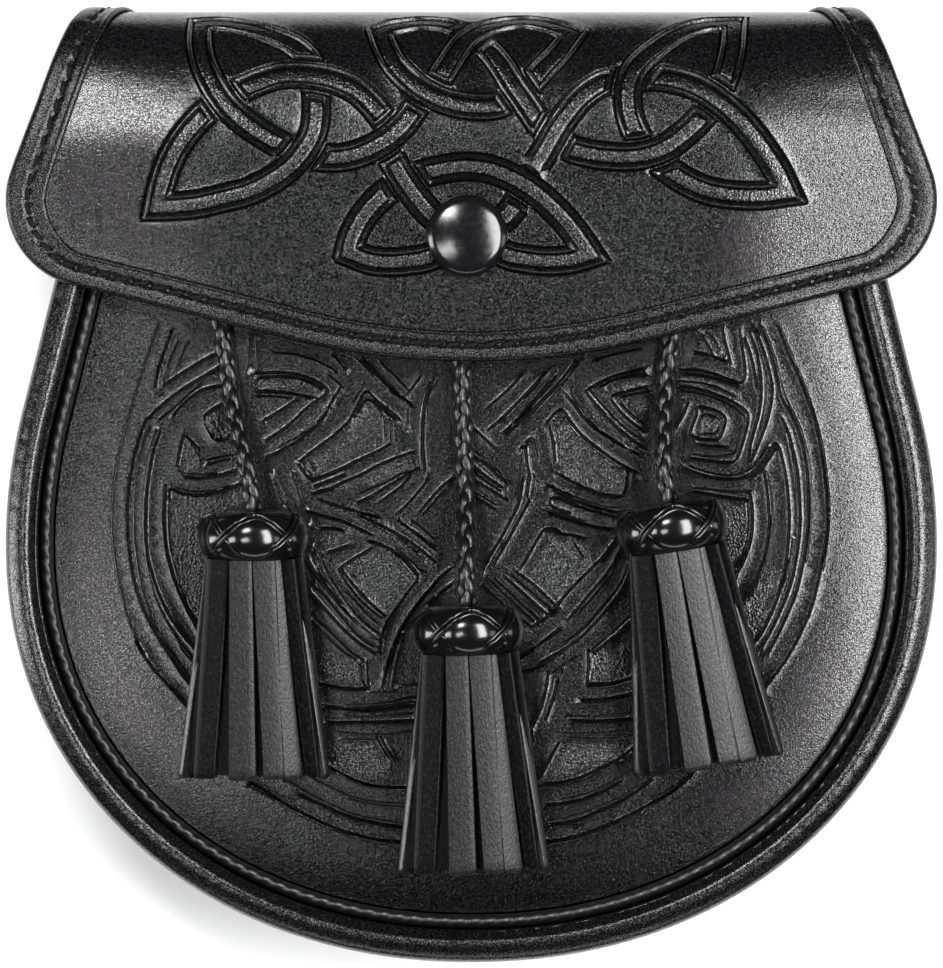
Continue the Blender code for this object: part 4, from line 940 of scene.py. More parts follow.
def walled_sheet(loop, lines, loose, coarse, hole=None):
    """A sheet over a flat loop, with a round hole (middle, radius) in it if any: the outer face's points, the
    inner face's coarser ones, and the faces of both and of the walls between them."""
    loops, closed_loop = [loop], np.vstack([loop, loop[:1]])
    if hole:
        middle, radius = np.array(hole[0]), hole[1]
        turns = np.arange(HOLE_SIDES)[:, None] * math.tau / HOLE_SIDES
        loops.append(middle + radius * np.hstack([np.cos(turns), np.sin(turns)]))

    def clear(points, margin):
        stays = (distance_to(points, closed_loop) > margin) & inside_loop(points, loop)
        return stays & (np.linalg.norm(points - middle, axis=1) - radius > margin / 2) if hole else stays

    lines = [part for line in lines for part in runs(line, clear(line, 0.4))]
    outer, outer_faces = triangles_over(loops, lines, loose[clear(loose, 0.6)], hole)
    inner, inner_faces = triangles_over(loops, [], coarse[clear(coarse, 1.5)], hole)
    start = len(outer)
    faces = [tuple(face) for face in outer_faces]
    faces += [tuple(start + corner for corner in face[::-1]) for face in inner_faces]
    first = 0
    for ring in loops:
        corners = list(range(first, first + len(ring)))
        faces += [(a, b, start + b, start + a) for a, b in zip(corners, corners[1:] + corners[:1])]
        first += len(ring)
    return outer, inner, faces


def rows_that_show(rows, reach, fits):
    """The stretches of (row, points) rows whose points are as far from the middles of the relief as fits."""
    found, start = [], 0
    for row, points in rows:
        own = reach[start : start + len(points)]
        start += len(points)
        found += runs(points, fits(own, row))
    return found


# The body's outline


def body_line(top, spacing):
    """The body's outline from the left top end round the bottom to the right top end."""
    turns = np.linspace(0.0, math.pi / 2, 400, endpoint=False)
    power = 2.0 / BOTTOM_POWER
    bottom = np.column_stack([BODY_HALF * np.sin(turns) ** power, WIDEST_Y - BOTTOM_DEPTH * np.cos(turns) ** power])
    turns = np.linspace(0.0, math.atan(SIDE_SLOPE), 40)
    shoulder = np.column_stack(
        [BODY_HALF - SHOULDER_RADIUS * (1 - np.cos(turns)), WIDEST_Y + SHOULDER_RADIUS * np.sin(turns)]
    )
    x, y = shoulder[-1]
    right = np.vstack([bottom, shoulder, [(x - SIDE_SLOPE * (top - y), top)]])
    return resampled(mirrored_round(right), spacing)


def body_rings(section, spacing, bumps=None):
    """A section of (inset, height) points swept round the body's outline."""
    line = body_line(BODY_TOP, spacing)
    inward = to_the_left(along_line(line))
    section = np.asarray(section, float)
    rings = np.zeros((len(line), len(section), 3))
    rings[:, :, :2] = line[:, None] + inward[:, None] * section[None, :, :1]
    rings[:, :, 2] = section[None, :, 1]
    return rings if bumps is None else rings + bumps(line, inward, section)


def inset_loop(inset, top, spacing):
    """The body's outline moved inwards and cut straight across at Y = top, as a closed loop."""
    line = body_line(top + inset + 3.0, spacing)
    line = line + to_the_left(along_line(line)) * inset
    below = line[line[:, 1] < top]
    lean = (line[1] - line[0]) / (line[1, 1] - line[0, 1])
    corner = below[0] + lean * (top - below[0][1])
    across = resampled([corner * (-1, 1), corner], spacing)[:-1]
    return np.vstack([below, across])


# The flap's form


def crown(p, q):
    """How far the flap's front bends down towards its side edges; the bend fades out over the roll."""
    reach = np.maximum(np.abs(p) - CROWN_START, 0.0)
    steady = CROWN_STEADY - CROWN_START
    bend = np.where(reach < steady, reach**2 / (2 * steady), reach - steady / 2)
    fade = np.clip((ROLL_START + ROLL_RADIUS - q) / ROLL_RADIUS, 0.0, 1.0)
    return CROWN_SLOPE * bend * fade


def bent(flat, over):
    """Where points of the flat flap lie once it is bent, each this far over its outer face."""
    p, q = flat[..., 0], flat[..., 1]
    turn = np.clip((q - ROLL_START) / ROLL_RADIUS, 0.0, math.pi)
    y = ROLL_Y + ROLL_RADIUS * np.sin(turn) + np.minimum(q - ROLL_START, 0.0) - np.maximum(q - ROLL_END, 0.0)
    # The front eases into the roll along a flatter oval than the back does.
    ease = np.clip((y - EASE_Y) / (ROLL_Y + ROLL_RADIUS - EASE_Y), 0.0, 1.0)
    front = turn < math.pi / 2
    z = ROLL_Z + ROLL_RADIUS * np.where(front, np.sqrt(1.0 - ease**2), np.cos(turn))
    out_y = np.where(front, ease * ROLL_RADIUS / (ROLL_Y + ROLL_RADIUS - EASE_Y), np.sin(turn))
    out_z = np.where(front, np.sqrt(1.0 - ease**2), np.cos(turn))
    lift = (over - crown(p, q)) / np.hypot(out_y, out_z)
    return np.stack([p, y + out_y * lift, z + out_z * lift], axis=-1)


def half_width(q):
    return FLAP_HALF_AT_TOP + FLAP_SIDE_SLOPE * (ROLL_START + math.pi / 2 * ROLL_RADIUS - q)


def flap_edge(inset, end):
    """The right half of the flat flap's edge, from the lower side's middle round the corner up to q = end."""
    slope = math.atan(FLAP_BOTTOM_SLOPE)
    side = math.atan(FLAP_SIDE_SLOPE) + math.pi / 2
    bottom = np.array((0.0, FLAP_LOWEST + FLAP_BOTTOM_RADIUS))
    start = bottom + FLAP_BOTTOM_RADIUS * np.array((math.sin(slope), -math.cos(slope)))
    run = (half_width(start[1]) - start[0]) / (1 + FLAP_SIDE_SLOPE * FLAP_BOTTOM_SLOPE)
    corner = start + np.array((run, run * FLAP_BOTTOM_SLOPE))
    cut = FLAP_CORNER_RADIUS * math.tan((side - slope) / 2)
    first = corner - cut * np.array((math.cos(slope), math.sin(slope)))
    middle = first + FLAP_CORNER_RADIUS * np.array((-math.sin(slope), math.cos(slope)))
    turns = np.linspace(0.0, slope, 60)[:, None]
    low = bottom + (FLAP_BOTTOM_RADIUS - inset) * np.hstack([np.sin(turns), -np.cos(turns)])
    turns = np.linspace(slope, side, 60)[:, None]
    round_corner = middle + (FLAP_CORNER_RADIUS - inset) * np.hstack([np.sin(turns), -np.cos(turns)])
    side_inset = inset * math.hypot(1.0, FLAP_SIDE_SLOPE)
    return np.vstack([low, round_corner, [(half_width(end) - side_inset, end)]])


# The flap's embossing. A strand is a band with a sunken stippled channel between two raised lines.
# (distance from the band's middle, height)
BAND_PROFILE = np.array(
    (
        (0.0, -0.12), (0.95, -0.12), (1.15, -0.18), (1.35, -0.30), (1.55, -0.05), (1.75, 0.28), (1.95, 0.42),
        (2.1, 0.42), (2.3, 0.28), (2.5, -0.06), (2.7, -0.32), (2.88, -0.18), (3.02, 0.03), (3.15, 0.06), (3.5, 0.0),
    )
)
BAND_ROWS = (0.0, 0.6, 1.1, 1.35, 1.55, 1.78, 2.03, 2.27, 2.5, 2.7, 2.9, 3.1, 3.5)
BAND_STEP = 0.8
CHANNEL_HALF = 1.35
# A band that goes under ends in a row as far from the middle of the band over it as this less the row.
CLOSING = 6.03
# How near to a tip, to a crossing and to a band the band's form is settled by them
TIP_REACH, CROSSING_REACH, BAND_REACH = 12.0, 11.0, 8.0
KNOT_TOP = 48.0  # no embossing lies above this q
FAR_OFF = 1e9


def knot_distances(points, strands):
    """For each strand, the distance of each point, with mitred corners and closed ends where it goes under."""
    reach = {name: distance_to(points, line) for name, line in strands.items()}
    plain = dict(reach)
    for first, end_a, second, end_b in KNOT_POINTS:
        ways = []
        for name, end in ((first, end_a), (second, end_b)):
            line = strands[name]
            inner = line[0] - line[16] if end == 0 else line[-1] - line[-17]
            ways.append(inner / np.linalg.norm(inner))
        axis = ways[0] + ways[1]
        offset = points - np.array(KNOT_STRANDS[first][end_a])
        side = axis[0] * offset[:, 1] - axis[1] * offset[:, 0]
        close = np.linalg.norm(offset, axis=1) < TIP_REACH
        for name, way in zip((first, second), ways):
            own = np.sign(axis[0] * -way[1] + axis[1] * way[0])
            reach[name] = np.where(close & (side * own < 0.0), FAR_OFF, reach[name])
    for under, over, place in CROSSINGS:
        close = np.linalg.norm(points - np.array(place), axis=1) < CROSSING_REACH
        blocked = np.where(close, CLOSING - plain[over], -FAR_OFF)
        reach[under] = np.where(reach[under] < BAND_REACH, np.maximum(reach[under], blocked), reach[under])
    return np.min(np.stack(list(reach.values())), axis=0)


def knot_lines():
    """The strands' smooth middle lines, each run on straight past a pointed corner."""
    strands = {name: smooth_line(points, 0.5) for name, points in KNOT_STRANDS.items()}
    for first, end_a, second, end_b in KNOT_POINTS:
        for name, end in ((first, end_a), (second, end_b)):
            line = strands[name]
            tip, inner = (line[0], line[3]) if end == 0 else (line[-1], line[-4])
            way = (tip - inner) / np.linalg.norm(tip - inner)
            more = tip + way * np.arange(0.5, BAND_REACH, 0.5)[:, None]
            strands[name] = np.vstack([more[::-1], line]) if end == 0 else np.vstack([line, more])
    return strands


def knot_mesh_lines(strands):
    """Rows of points along the bands, as far as each row is the edge of what shows there."""
    rows = [row for line in strands.values() for row in band_rows(line, BAND_ROWS, BAND_STEP)]
    for _, over, place in CROSSINGS:
        line = strands[over]
        near = line[np.linalg.norm(line - np.array(place), axis=1) < BAND_REACH]
        for row in BAND_ROWS[1:-1]:
            rows += [(row, points) for _, points in band_rows(near, (CLOSING - row,), BAND_STEP / 2)]
    reach = knot_distances(np.vstack([points for _, points in rows]), strands)
    return rows_that_show(rows, reach, lambda own, row: np.abs(own - row) < 0.03)


def flap_sheet(finish):
    """The flap's sheet: its outer face carries the embossing, and its inner face is plain."""
    strands = knot_lines()
    outline = resampled(mirrored_round(flap_edge(FLAP_INSET, FLAP_END)), 1.2)
    loop = np.vstack([outline, resampled([outline[-1], outline[0]], 2.5)[1:-1]])
    low, high = (-110.0, -30.0), (110.0, FLAP_END)
    ground = grid_over(low, (high[0], KNOT_TOP), 1.9)
    ground = ground[knot_distances(ground, strands) > 3.9]
    loose = np.vstack([ground, grid_over((low[0], KNOT_TOP), high, 3.0)])
    hole = ((SNAP_X, 0.0), SNAP_HOLE)
    outer, inner, faces = walled_sheet(loop, knot_mesh_lines(strands), loose, grid_over(low, high, 4.0), hole)
    reach = knot_distances(outer, strands)
    height = np.interp(reach, *BAND_PROFILE.T)
    points = np.vstack([bent(outer, height), bent(inner, np.full(len(inner), -FLAP_WALL))])
    plain = np.zeros(len(inner))
    painted_on = {
        "channel": np.concatenate([np.clip((CHANNEL_HALF - reach) / 0.25, 0.0, 1.0), plain]),
        # painted shade: the deeper grooves are marked for a darker colour and less sheen
        "pressed": np.concatenate([np.clip((-0.13 - height) / 0.17, 0.0, 1.0), plain]),
    }
    sheet = new_piece("flap_sheet", points, faces, finish, attributes=painted_on)
    return finish_piece(sheet, ["flap"])


# The binding's section: (share of its width from the edge, height over the flap, how far the stitches pull it down)
BINDING_FRONT = (
    (1.0, 0.26, 0.0), (1.0, 0.55, 0.0), (0.995, 0.72, 0.0), (0.978, 0.82, 0.0), (0.925, 1.02, 0.0),
    (0.905, 1.03, 0.0), (0.88, 0.9, 0.0), (0.83, 0.86, 0.0), (0.74, 0.88, 0.1), (0.66, 0.86, 0.35),
    (0.60, 0.66, 0.9), (0.55, 0.5, 1.0), (0.50, 0.66, 0.9), (0.44, 0.87, 0.35), (0.37, 0.95, 0.1),
    (0.26, 0.97, 0.0), (0.18, 0.98, 0.0), (0.12, 0.94, 0.0), (0.07, 0.78, 0.0), (0.03, 0.46, 0.0),
    (0.008, 0.06, 0.0), (0.0, -0.5, 0.0),
)
BINDING_BACK = (
    (0.0, -1.9), (0.03, -2.6), (0.08, -3.05), (0.16, -3.4), (0.26, -3.55), (0.9, -3.5), (1.0, -3.2), (1.0, -2.7),
)
BINDING_INSIDE = (-2.7, 0.26)  # it lies on the flap's edge at these heights
BINDING_WIDTH = 6.0
WIDER_AT_SIDES = 2.0
ACROSS_FROM = 8.0  # the q above which the section begins to turn straight across
STEPS_A_STITCH = 6
GROOVE_SHARE = 0.55  # where the stitched groove lies on the binding's width
STITCH_HEIGHT = 0.62
STITCH_SLANT = math.radians(10.0)
# One stitch's section along it: (place from -1 to 1, share of its radius, how far it sinks in)
STITCH_RINGS = (
    (-1.0, 0.10, 0.55), (-0.86, 0.62, 0.28), (-0.55, 0.95, 0.05), (0.0, 1.0, 0.0), (0.55, 0.95, 0.05),
    (0.86, 0.62, 0.28), (1.0, 0.10, 0.55),
)


def binding_line():
    """Points of the flap's whole edge from one side of the back to the other, with inward directions and widths."""
    line = resampled(mirrored_round(flap_edge(0.0, ROLL_END + 4.0)), STITCH_PITCH / STEPS_A_STITCH)
    inward = to_the_left(along_line(line))
    upright = np.minimum(np.abs(inward[:, 0]) * 1.2, 1.0)
    width = BINDING_WIDTH + WIDER_AT_SIDES * upright
    # Over the roll the section runs straight across.
    t = smooth_step(np.clip((line[:, 1] - ACROSS_FROM) / (ROLL_START - ACROSS_FROM), 0.0, 1.0)[:, None])
    across = np.column_stack([np.sign(inward[:, 0]), np.zeros(len(line))])
    return line, inward * (1 - t) + across * t, width


def flap_binding(finish):
    """The folded strip round the flap's edge, puffed on both sides of its stitched groove."""
    line, inward, width = binding_line()
    count = len(line)
    along = np.arange(count) / STEPS_A_STITCH
    pull = 0.08 + 0.34 * np.exp(-(((along % 1.0) - 0.5) / 0.16) ** 2)
    rings = [(share * width, height - sink * pull) for share, height, sink in BINDING_FRONT]
    rings += [(share * width, np.full(count, height)) for share, height in BINDING_BACK]
    rings += [(np.full(count, 1.0), np.full(count, height)) for height in BINDING_INSIDE]
    shaped = np.stack([bent(line + inward * inset[:, None], over) for inset, over in rings], axis=1)
    strip = new_piece("flap_binding_strip", *swept(shaped)[:2], finish, sharp=50.0)
    return finish_piece(strip, ["flap_binding"])


def stitch():
    """One stitch: a bead of thread along X, with its ends drawn in and down."""
    rings = []
    for place, radius, sink in STITCH_RINGS:
        ring = []
        for i in range(8):
            turn = math.tau * i / 8
            wide = radius * STITCH_RADIUS * 1.1 * math.cos(turn)
            ring.append((place * STITCH_LENGTH / 2, wide, STITCH_RADIUS * (radius * math.sin(turn) - sink)))
        rings.append(ring)
    return swept(rings)


def binding_stitches(finish):
    """Copies of the stitch along the binding's groove, a little aslant."""
    line, inward, width = binding_line()
    flat = line + inward * (GROOVE_SHARE * width)[:, None]
    places = bent(flat, np.full(len(line), STITCH_HEIGHT))
    ups = bent(flat, np.full(len(line), STITCH_HEIGHT + 1.0)) - places
    shown = np.arange(len(line))[6:-3:STEPS_A_STITCH]
    points, faces, uv = stitch()
    skins = []
    for place, way, up in zip(places[shown], along_line(places)[shown], ups[shown]):
        way, up = Vector(way).normalized(), Vector(up).normalized()
        side = up.cross(way).normalized()
        way = (way * math.cos(STITCH_SLANT) + side * math.sin(STITCH_SLANT)).normalized()
        turned = np.array([way, up.cross(way).normalized(), up])
        skins.append((points @ turned + np.array(place), faces, uv))
    points, faces, uv = together(skins)
    return finish_piece(new_piece("binding_stitches", points, faces, finish, uv=uv))


# The body's pieces, each by its section of (inset from the outline, height)
WELT_SECTION = (
    (0.5, 2.6), (0.25, 1.3), (1.0, 0.35), (2.2, 0.06), (3.8, 0.06), (4.8, 0.55), (5.15, 1.6), (5.0, 2.65),
    (2.8, 2.7),
)
GUSSET_FACE = (
    (2.4, 5.5), (1.75, 8.5), (1.4, 12.0), (1.25, 16.0), (1.25, 20.5), (1.4, 24.4), (1.75, 27.9), (2.4, 30.9),
)
GUSSET_WALL = 2.0
RIM_SECTION = (
    (1.3, 31.2), (0.35, 32.0), (0.02, 33.3), (0.12, 34.7), (0.5, 35.7), (1.05, 36.35), (1.75, 36.8),
    (2.6, 37.18), (3.5, 37.42), (4.3, 37.4), (4.95, 37.05), (5.4, 36.4), (5.65, 36.15), (5.85, 36.3),
    (6.05, 36.65), (6.25, 36.72), (6.45, 36.5), (6.58, 35.9), (6.6, 34.0), (6.6, 31.2),
)
PIPING_SECTION = (
    (6.9, 32.0), (6.9, 33.6), (7.1, 34.3), (7.45, 34.85), (7.9, 35.2), (8.35, 35.3), (8.8, 35.1), (9.15, 34.7),
    (9.4, 34.0), (9.55, 33.2), (9.4, 32.0),
)
BACK_LAYERS = ((0.5, 3.0), (0.0, 3.35), (0.0, 4.85), (0.5, 5.2))


def wavy(points, scale, seed):
    """A smooth, repeatable unevenness between -1 and 1."""
    x, y, z = (np.asarray(points) / scale).T
    first = np.sin(1.7 * x + 2.1 * y + seed)
    second = np.sin(-2.3 * x + 1.3 * z + 2.7 * y + seed * 1.7)
    return (first + second + np.sin(3.1 * y - 1.1 * x + 2.2 * z + seed * 2.3)) / 3


def crinkled(line, inward, section):
    """The crinkle of the rim's leather, and the puckers of its lip beside the piping."""
    bumps = np.zeros((len(line), len(section), 3))
    for j, (inset, height) in enumerate(section):
        if 0.2 < inset < 5.5 and height > 33.0:
            spots = np.column_stack([line + inward * inset, np.full(len(line), height)])
            bumps[:, j, 2] = 0.05 * wavy(spots, 1.6, 0.3) + 0.03 * wavy(spots, 0.8, 1.9)
        elif inset > 5.8 and height > 36.0:
            spots = np.column_stack([line, np.full(len(line), height)])
            bumps[:, j, 2] = 0.14 * wavy(spots, 0.5, 1.1)
    return bumps


def body_piece(name, solid, rings, finish, sharp=60.0, with_uv=False):
    points, faces, uv = swept(rings)
    piece = new_piece(name, points, faces, finish, uv=uv if with_uv else None, sharp=sharp)
    return finish_piece(piece, [solid])


def body_walls(finishes):
    """The bag behind the panel: seam bead, side wall, rim, the piping between rim and panel, and the back."""
    welt = smooth_line(WELT_SECTION + WELT_SECTION[:1], 0.35)[:-1]
    body_piece("back_bead", "back_welt", body_rings(welt, 1.6), finishes["rim"])
    inner_face = [(inset + GUSSET_WALL, height) for inset, height in reversed(GUSSET_FACE)]
    body_piece("side_wall", "gusset", body_rings([*GUSSET_FACE, *inner_face], 2.0), finishes["rim"], sharp=50.0)
    body_piece("front_roll", "front_rim", body_rings(RIM_SECTION, 0.6, bumps=crinkled), finishes["rim"])
    body_piece("panel_piping", "rim_welt", body_rings(PIPING_SECTION, 1.0), finishes["piping"], with_uv=True)
    outline = inset_loop(0.8, BACK_TOP, 2.0)
    inward = to_the_left(along_line(outline, closed=True))
    layers = [np.column_stack([outline + inward * inset, np.full(len(outline), z)]) for inset, z in BACK_LAYERS]
    body_piece("back_sheet", "back_panel", layers, finishes["panel"])


# The front panel's embossing: (distance from the line's middle, height) for a pressed groove with its lips, and
# for a fine raised line
GROOVE_PROFILE = np.array(((0.0, -0.36), (0.09, -0.33), (0.22, -0.04), (0.34, 0.07), (0.6, 0.0)))
RIDGE_PROFILE = np.array(((0.0, 0.28), (0.12, 0.22), (0.26, 0.02), (0.48, 0.0)))
LINE_ROWS = {GROOVE: (0.0, 0.09, 0.22, 0.34, 0.6), RIDGE: (0.0, 0.12, 0.26, 0.48)}
DEEPEST = 0.3  # a groove this deep gets the full painted shade
LEVEL_SHARE = 0.7  # the panel is level as far out as this share of the way to its edge
EDGE_POWER = 2.8


def panel_height(points):
    """The front panel's outer face: level in the middle and turned down at its edge."""
    outline = inset_loop(PANEL_INSET, PANEL_TOP, 1.0) - (0.0, WIDEST_Y)
    turns = np.arctan2(outline[:, 1], outline[:, 0])
    order = np.argsort(turns)
    spot = points - np.array((0.0, WIDEST_Y))
    own_turns = np.arctan2(spot[:, 1], spot[:, 0])
    edge = np.interp(own_turns, turns[order], np.linalg.norm(outline, axis=1)[order], period=math.tau)
    share = np.clip(np.linalg.norm(spot, axis=1) / edge, 0.0, 1.0)
    lift = 1 - (np.maximum(share - LEVEL_SHARE, 0.0) / 0.3) ** EDGE_POWER
    return PANEL_EDGE_Z + (PANEL_Z - PANEL_EDGE_Z) * lift


def medallion_height(points, lines):
    """The relief at each point, and how far the nearest line is."""
    reach = {kind: np.full(len(points), FAR_OFF) for kind in (GROOVE, RIDGE)}
    for kind, line in lines:
        reach[kind] = np.minimum(reach[kind], distance_to(points, line, 2.0))
    height = np.interp(reach[GROOVE], *GROOVE_PROFILE.T) + np.interp(reach[RIDGE], *RIDGE_PROFILE.T)
    return height, np.minimum(reach[GROOVE], reach[RIDGE])


def front_panel(finish):
    """The front panel, with the medallion on its outer face."""
    lines = []
    for group in MEDALLION.values():
        lines += [(kind, through_corners(np.reshape(places, (-1, 2)), 0.5)) for kind, *places in group]
    rows = [pair for kind, line in lines for pair in band_rows(line, LINE_ROWS[kind], 0.7)]
    reach = medallion_height(np.vstack([points for _, points in rows]), lines)[1]
    mesh_lines = rows_that_show(rows, reach, lambda own, row: own > row - 0.03)
    low, high = (-90.0, -90.0), (90.0, PANEL_TOP)
    ground = grid_over(low, high, 1.6)
    loose = ground[medallion_height(ground, lines)[1] > 1.1]
    loop = inset_loop(PANEL_INSET, PANEL_TOP, 1.5)
    outer, inner, faces = walled_sheet(loop, mesh_lines, loose, grid_over(low, high, 4.5))
    relief = medallion_height(outer, lines)[0]
    tops = np.column_stack([outer, panel_height(outer) + relief])
    points = np.vstack([tops, np.column_stack([inner, panel_height(inner) - PANEL_WALL])])
    start = len(outer)
    channel, pressed = np.zeros(len(points)), np.zeros(len(points))
    for corners in STIPPLED:
        channel[:start] = np.maximum(channel[:start], inside_loop(outer, np.reshape(corners, (-1, 2))))
    # painted shade: the grooves are marked for a darker colour and less sheen, the deeper the more
    pressed[:start] = np.clip(-relief / DEEPEST, 0.0, 1.0)
    painted_on = {"channel": channel, "pressed": pressed}
    piece = new_piece("embossed_panel", points, faces, finish, attributes=painted_on)
    return finish_piece(piece, ["front_panel"])


# Hard pieces and small blocks


def pick_only(*objects):
    """Selects these objects alone and makes the first one active."""
    bpy.ops.object.select_all(action="DESELECT")
    for obj in objects:
        obj.select_set(True)
    if objects:
        bpy.context.view_layer.objects.active = objects[0]


def leather_block(name, size, place, turn, finish):
    """A small plain leather piece with rounded edges, from a cube."""
    pick_only()
    bpy.ops.mesh.primitive_cube_add(size=1.0, location=metres(place), rotation=(0.0, 0.0, turn))
    piece = bpy.context.object
    piece.name = piece.data.name = name
    piece.scale = metres(size)
    bpy.ops.object.transform_apply(location=True, rotation=True, scale=True)
    edges = piece.modifiers.new("edges", "BEVEL")
    edges.width = TAB_EDGE * MM
    edges.segments = 4
    bpy.ops.object.modifier_apply(modifier="edges")
    bpy.ops.object.shade_smooth_by_angle(angle=math.radians(40))
    piece.data.materials.append(finish)
    return piece


def turned(name, profile, sides, place, finish):
    """Turned work: a circle is drawn up or down through (radius, height) steps, and its poles are closed."""
    pick_only()
    x, y = place
    radius, height = profile[0]
    bpy.ops.mesh.primitive_circle_add(vertices=sides, radius=radius * MM, location=metres((x, y, height)))
    piece = bpy.context.object
    piece.name = piece.data.name = name
    bpy.ops.object.transform_apply(location=True, rotation=False, scale=False)
    bpy.ops.object.mode_set(mode="EDIT")
    bpy.ops.mesh.select_all(action="SELECT")
    for after, level in profile[1:]:
        bpy.ops.mesh.extrude_edges_move(TRANSFORM_OT_translate={"value": (0.0, 0.0, (level - height) * MM)})
        share = after / radius
        bpy.ops.transform.resize(value=(share, share, 1.0), center_override=metres((x, y, level)))
        radius, height = after, level
    bpy.ops.mesh.edge_face_add()
    bpy.ops.mesh.select_all(action="DESELECT")
    bpy.ops.mesh.select_non_manifold()
    bpy.ops.mesh.edge_face_add()
    bpy.ops.mesh.select_all(action="SELECT")
    bpy.ops.mesh.normals_make_consistent(inside=False)
    bpy.ops.object.mode_set(mode="OBJECT")
    bpy.ops.object.shade_smooth_by_angle(angle=math.radians(40))
    piece.data.materials.append(finish)
    return piece


# A belt loop's strap, as (Y, Z) along its middle and as (across, out of its middle) round it
LOOP_ROUTE = ((26.0, 1.9), (33.0, 1.9), (37.0, 1.05), (53.0, 1.05), (57.0, 1.9), (64.0, 1.9))
LOOP_SECTION = (
    (-8.5, -0.5), (-8.2, -0.8), (8.2, -0.8), (8.5, -0.5), (8.5, 0.5), (8.2, 0.8), (-8.2, 0.8), (-8.5, 0.5),
)


def belt_loop(solid, x, finish):
    rings = [[(x + across, y, z + out) for across, out in LOOP_SECTION] for y, z in smooth_line(LOOP_ROUTE, 1.0)]
    finish_piece(new_piece(solid + "_strap", *swept(rings)[:2], finish), [solid])


# The snap, as (radius, height) steps: its stud from the flap's face up and down, and its post from the head down
STUD_DOME = (0.15, 0.8, 1.6, 2.4, 3.2, 4.0, 4.8, 5.5, 6.1, 6.6)  # radii alone
STUD_RADIUS = 8.25
STUD_HEIGHT = 4.2
STUD_FALL = 1.3  # how far the dome would fall by the stud's radius
STUD_FOOT_DEPTH = 1.4
STUD_SHOULDER = (
    (7.0, 3.2), (7.35, 3.0), (7.65, 2.73), (7.9, 2.38), (8.08, 1.95), (8.19, 1.45), (8.25, 0.9), (8.22, 0.6),
    (8.05, 0.28), (7.75, 0.06), (7.3, 0.0), (2.3, 0.0),
)
STUD_FOOT = (
    (2.3, 0.0), (5.2, 0.0), (5.45, 0.25), (5.5, 0.7), (5.45, 1.15), (5.2, 1.4), (3.0, 1.4), (2.7, 1.1), (0.3, 1.1),
)
POST_HEAD = ((0.2, 0.0), (2.2, 0.0), (2.5, 0.15), (2.6, 0.5), (2.4, 1.6))
POST_FOOT = (
    (2.6, 1.2), (3.0, 1.0), (4.6, 1.0), (4.9, 0.85), (5.0, 0.5), (4.9, 0.1), (4.6, 0.0), (0.2, 0.0),
)


def snap(finish):
    place = (SNAP_X, DATUM_Y)
    base, under = FLAP_Z + FIT_GAP, FLAP_Z - FLAP_WALL - FIT_GAP
    foot, head = PANEL_Z + FIT_GAP, under - STUD_FOOT_DEPTH - FIT_GAP
    # A low dome, then a round shoulder
    stud = [(radius, base + STUD_HEIGHT - STUD_FALL * (radius / STUD_RADIUS) ** 2) for radius in STUD_DOME]
    stud += [(radius, base + height) for radius, height in STUD_SHOULDER]
    stud += [(radius, under - depth) for radius, depth in STUD_FOOT]
    finish_piece(turned("snap_stud", stud, 96, place, finish), ["snap_cap"])
    post = [(radius, head - depth) for radius, depth in POST_HEAD]
    post += [(radius, foot + height) for radius, height in POST_FOOT]
    finish_piece(turned("snap_socket_post", post, 48, place, finish), ["snap_post"])


# The tassels. The cap's section, as (radius, height)
CAP_SIDE = (
    (7.6, 5.0), (8.5, 4.6), (9.25, 4.0), (9.8, 3.2), (10.15, 2.2), (10.3, 1.2), (10.3, 0.2),
    (10.15, -0.9), (9.85, -1.9), (9.4, -2.8), (8.95, -3.5), (8.5, -4.0), (8.0, -4.3),
)
CAP_TOP = ((2.6, 5.2), (5.4, 5.25), (6.6, 5.2))
CAP_MOUTH = ((7.4, -4.4), (7.1, -4.1), (2.0, -4.0))
EYES = 5
EYE_TURN = math.radians(22.0)
EYE_HALVES = (2.7, 5.6, 4.4)
EYE_RADIUS = 8.3
EYE_DROP = 0.5
WIRE_APART = 0.43
WIRE_RADIUS = 0.4
WIRE_POINTS = 200
BAND_RADIUS = 10.6


def tassel_frame(place, heading, dip):
    turn = Matrix.Rotation(math.radians(heading), 4, "Z") @ Matrix.Rotation(dip - math.pi / 2, 4, "X")
    return Matrix.Translation(metres((*place, CAP_Z))) @ turn


def wire_point(around, apart):
    """A point of the cast band, which waves up and down as it goes round the cap twice."""
    wave = EYES / 2 * around
    # The offset that keeps the second wire beside the first one on the slope
    lean = math.atan2(WAVE_HEIGHT * EYES / 2 * math.cos(wave), BAND_RADIUS)
    z = EYE_Z + WAVE_HEIGHT * math.sin(wave) + apart * math.cos(lean)
    # It lies on the cap, and one wire passes over the other where they cross.
    radii, heights = np.array(CAP_SIDE[::-1]).T
    radius = float(np.interp(z, heights, radii)) + 0.25 + 0.3 * math.cos(wave)
    turn = around + EYE_TURN - apart * math.sin(lean) / BAND_RADIUS
    return metres((radius * math.cos(turn), radius * math.sin(turn), z))


def cap_wire(apart):
    """One of the cast band's two wires, which lie side by side."""
    curve = bpy.data.curves.new("cap_wire", "CURVE")
    curve.dimensions = "3D"
    curve.bevel_depth = WIRE_RADIUS * MM
    curve.bevel_resolution = 3
    spline = curve.splines.new("POLY")
    spline.points.add(WIRE_POINTS - 1)
    spline.use_cyclic_u = True
    for i, point in enumerate(spline.points):
        point.co = (*wire_point(4 * math.pi * i / WIRE_POINTS, apart), 1.0)
    wire = add_to_scene(bpy.data.objects.new("cap_wire", curve))
    pick_only(wire)
    bpy.ops.object.convert(target="MESH")
    return bpy.context.object


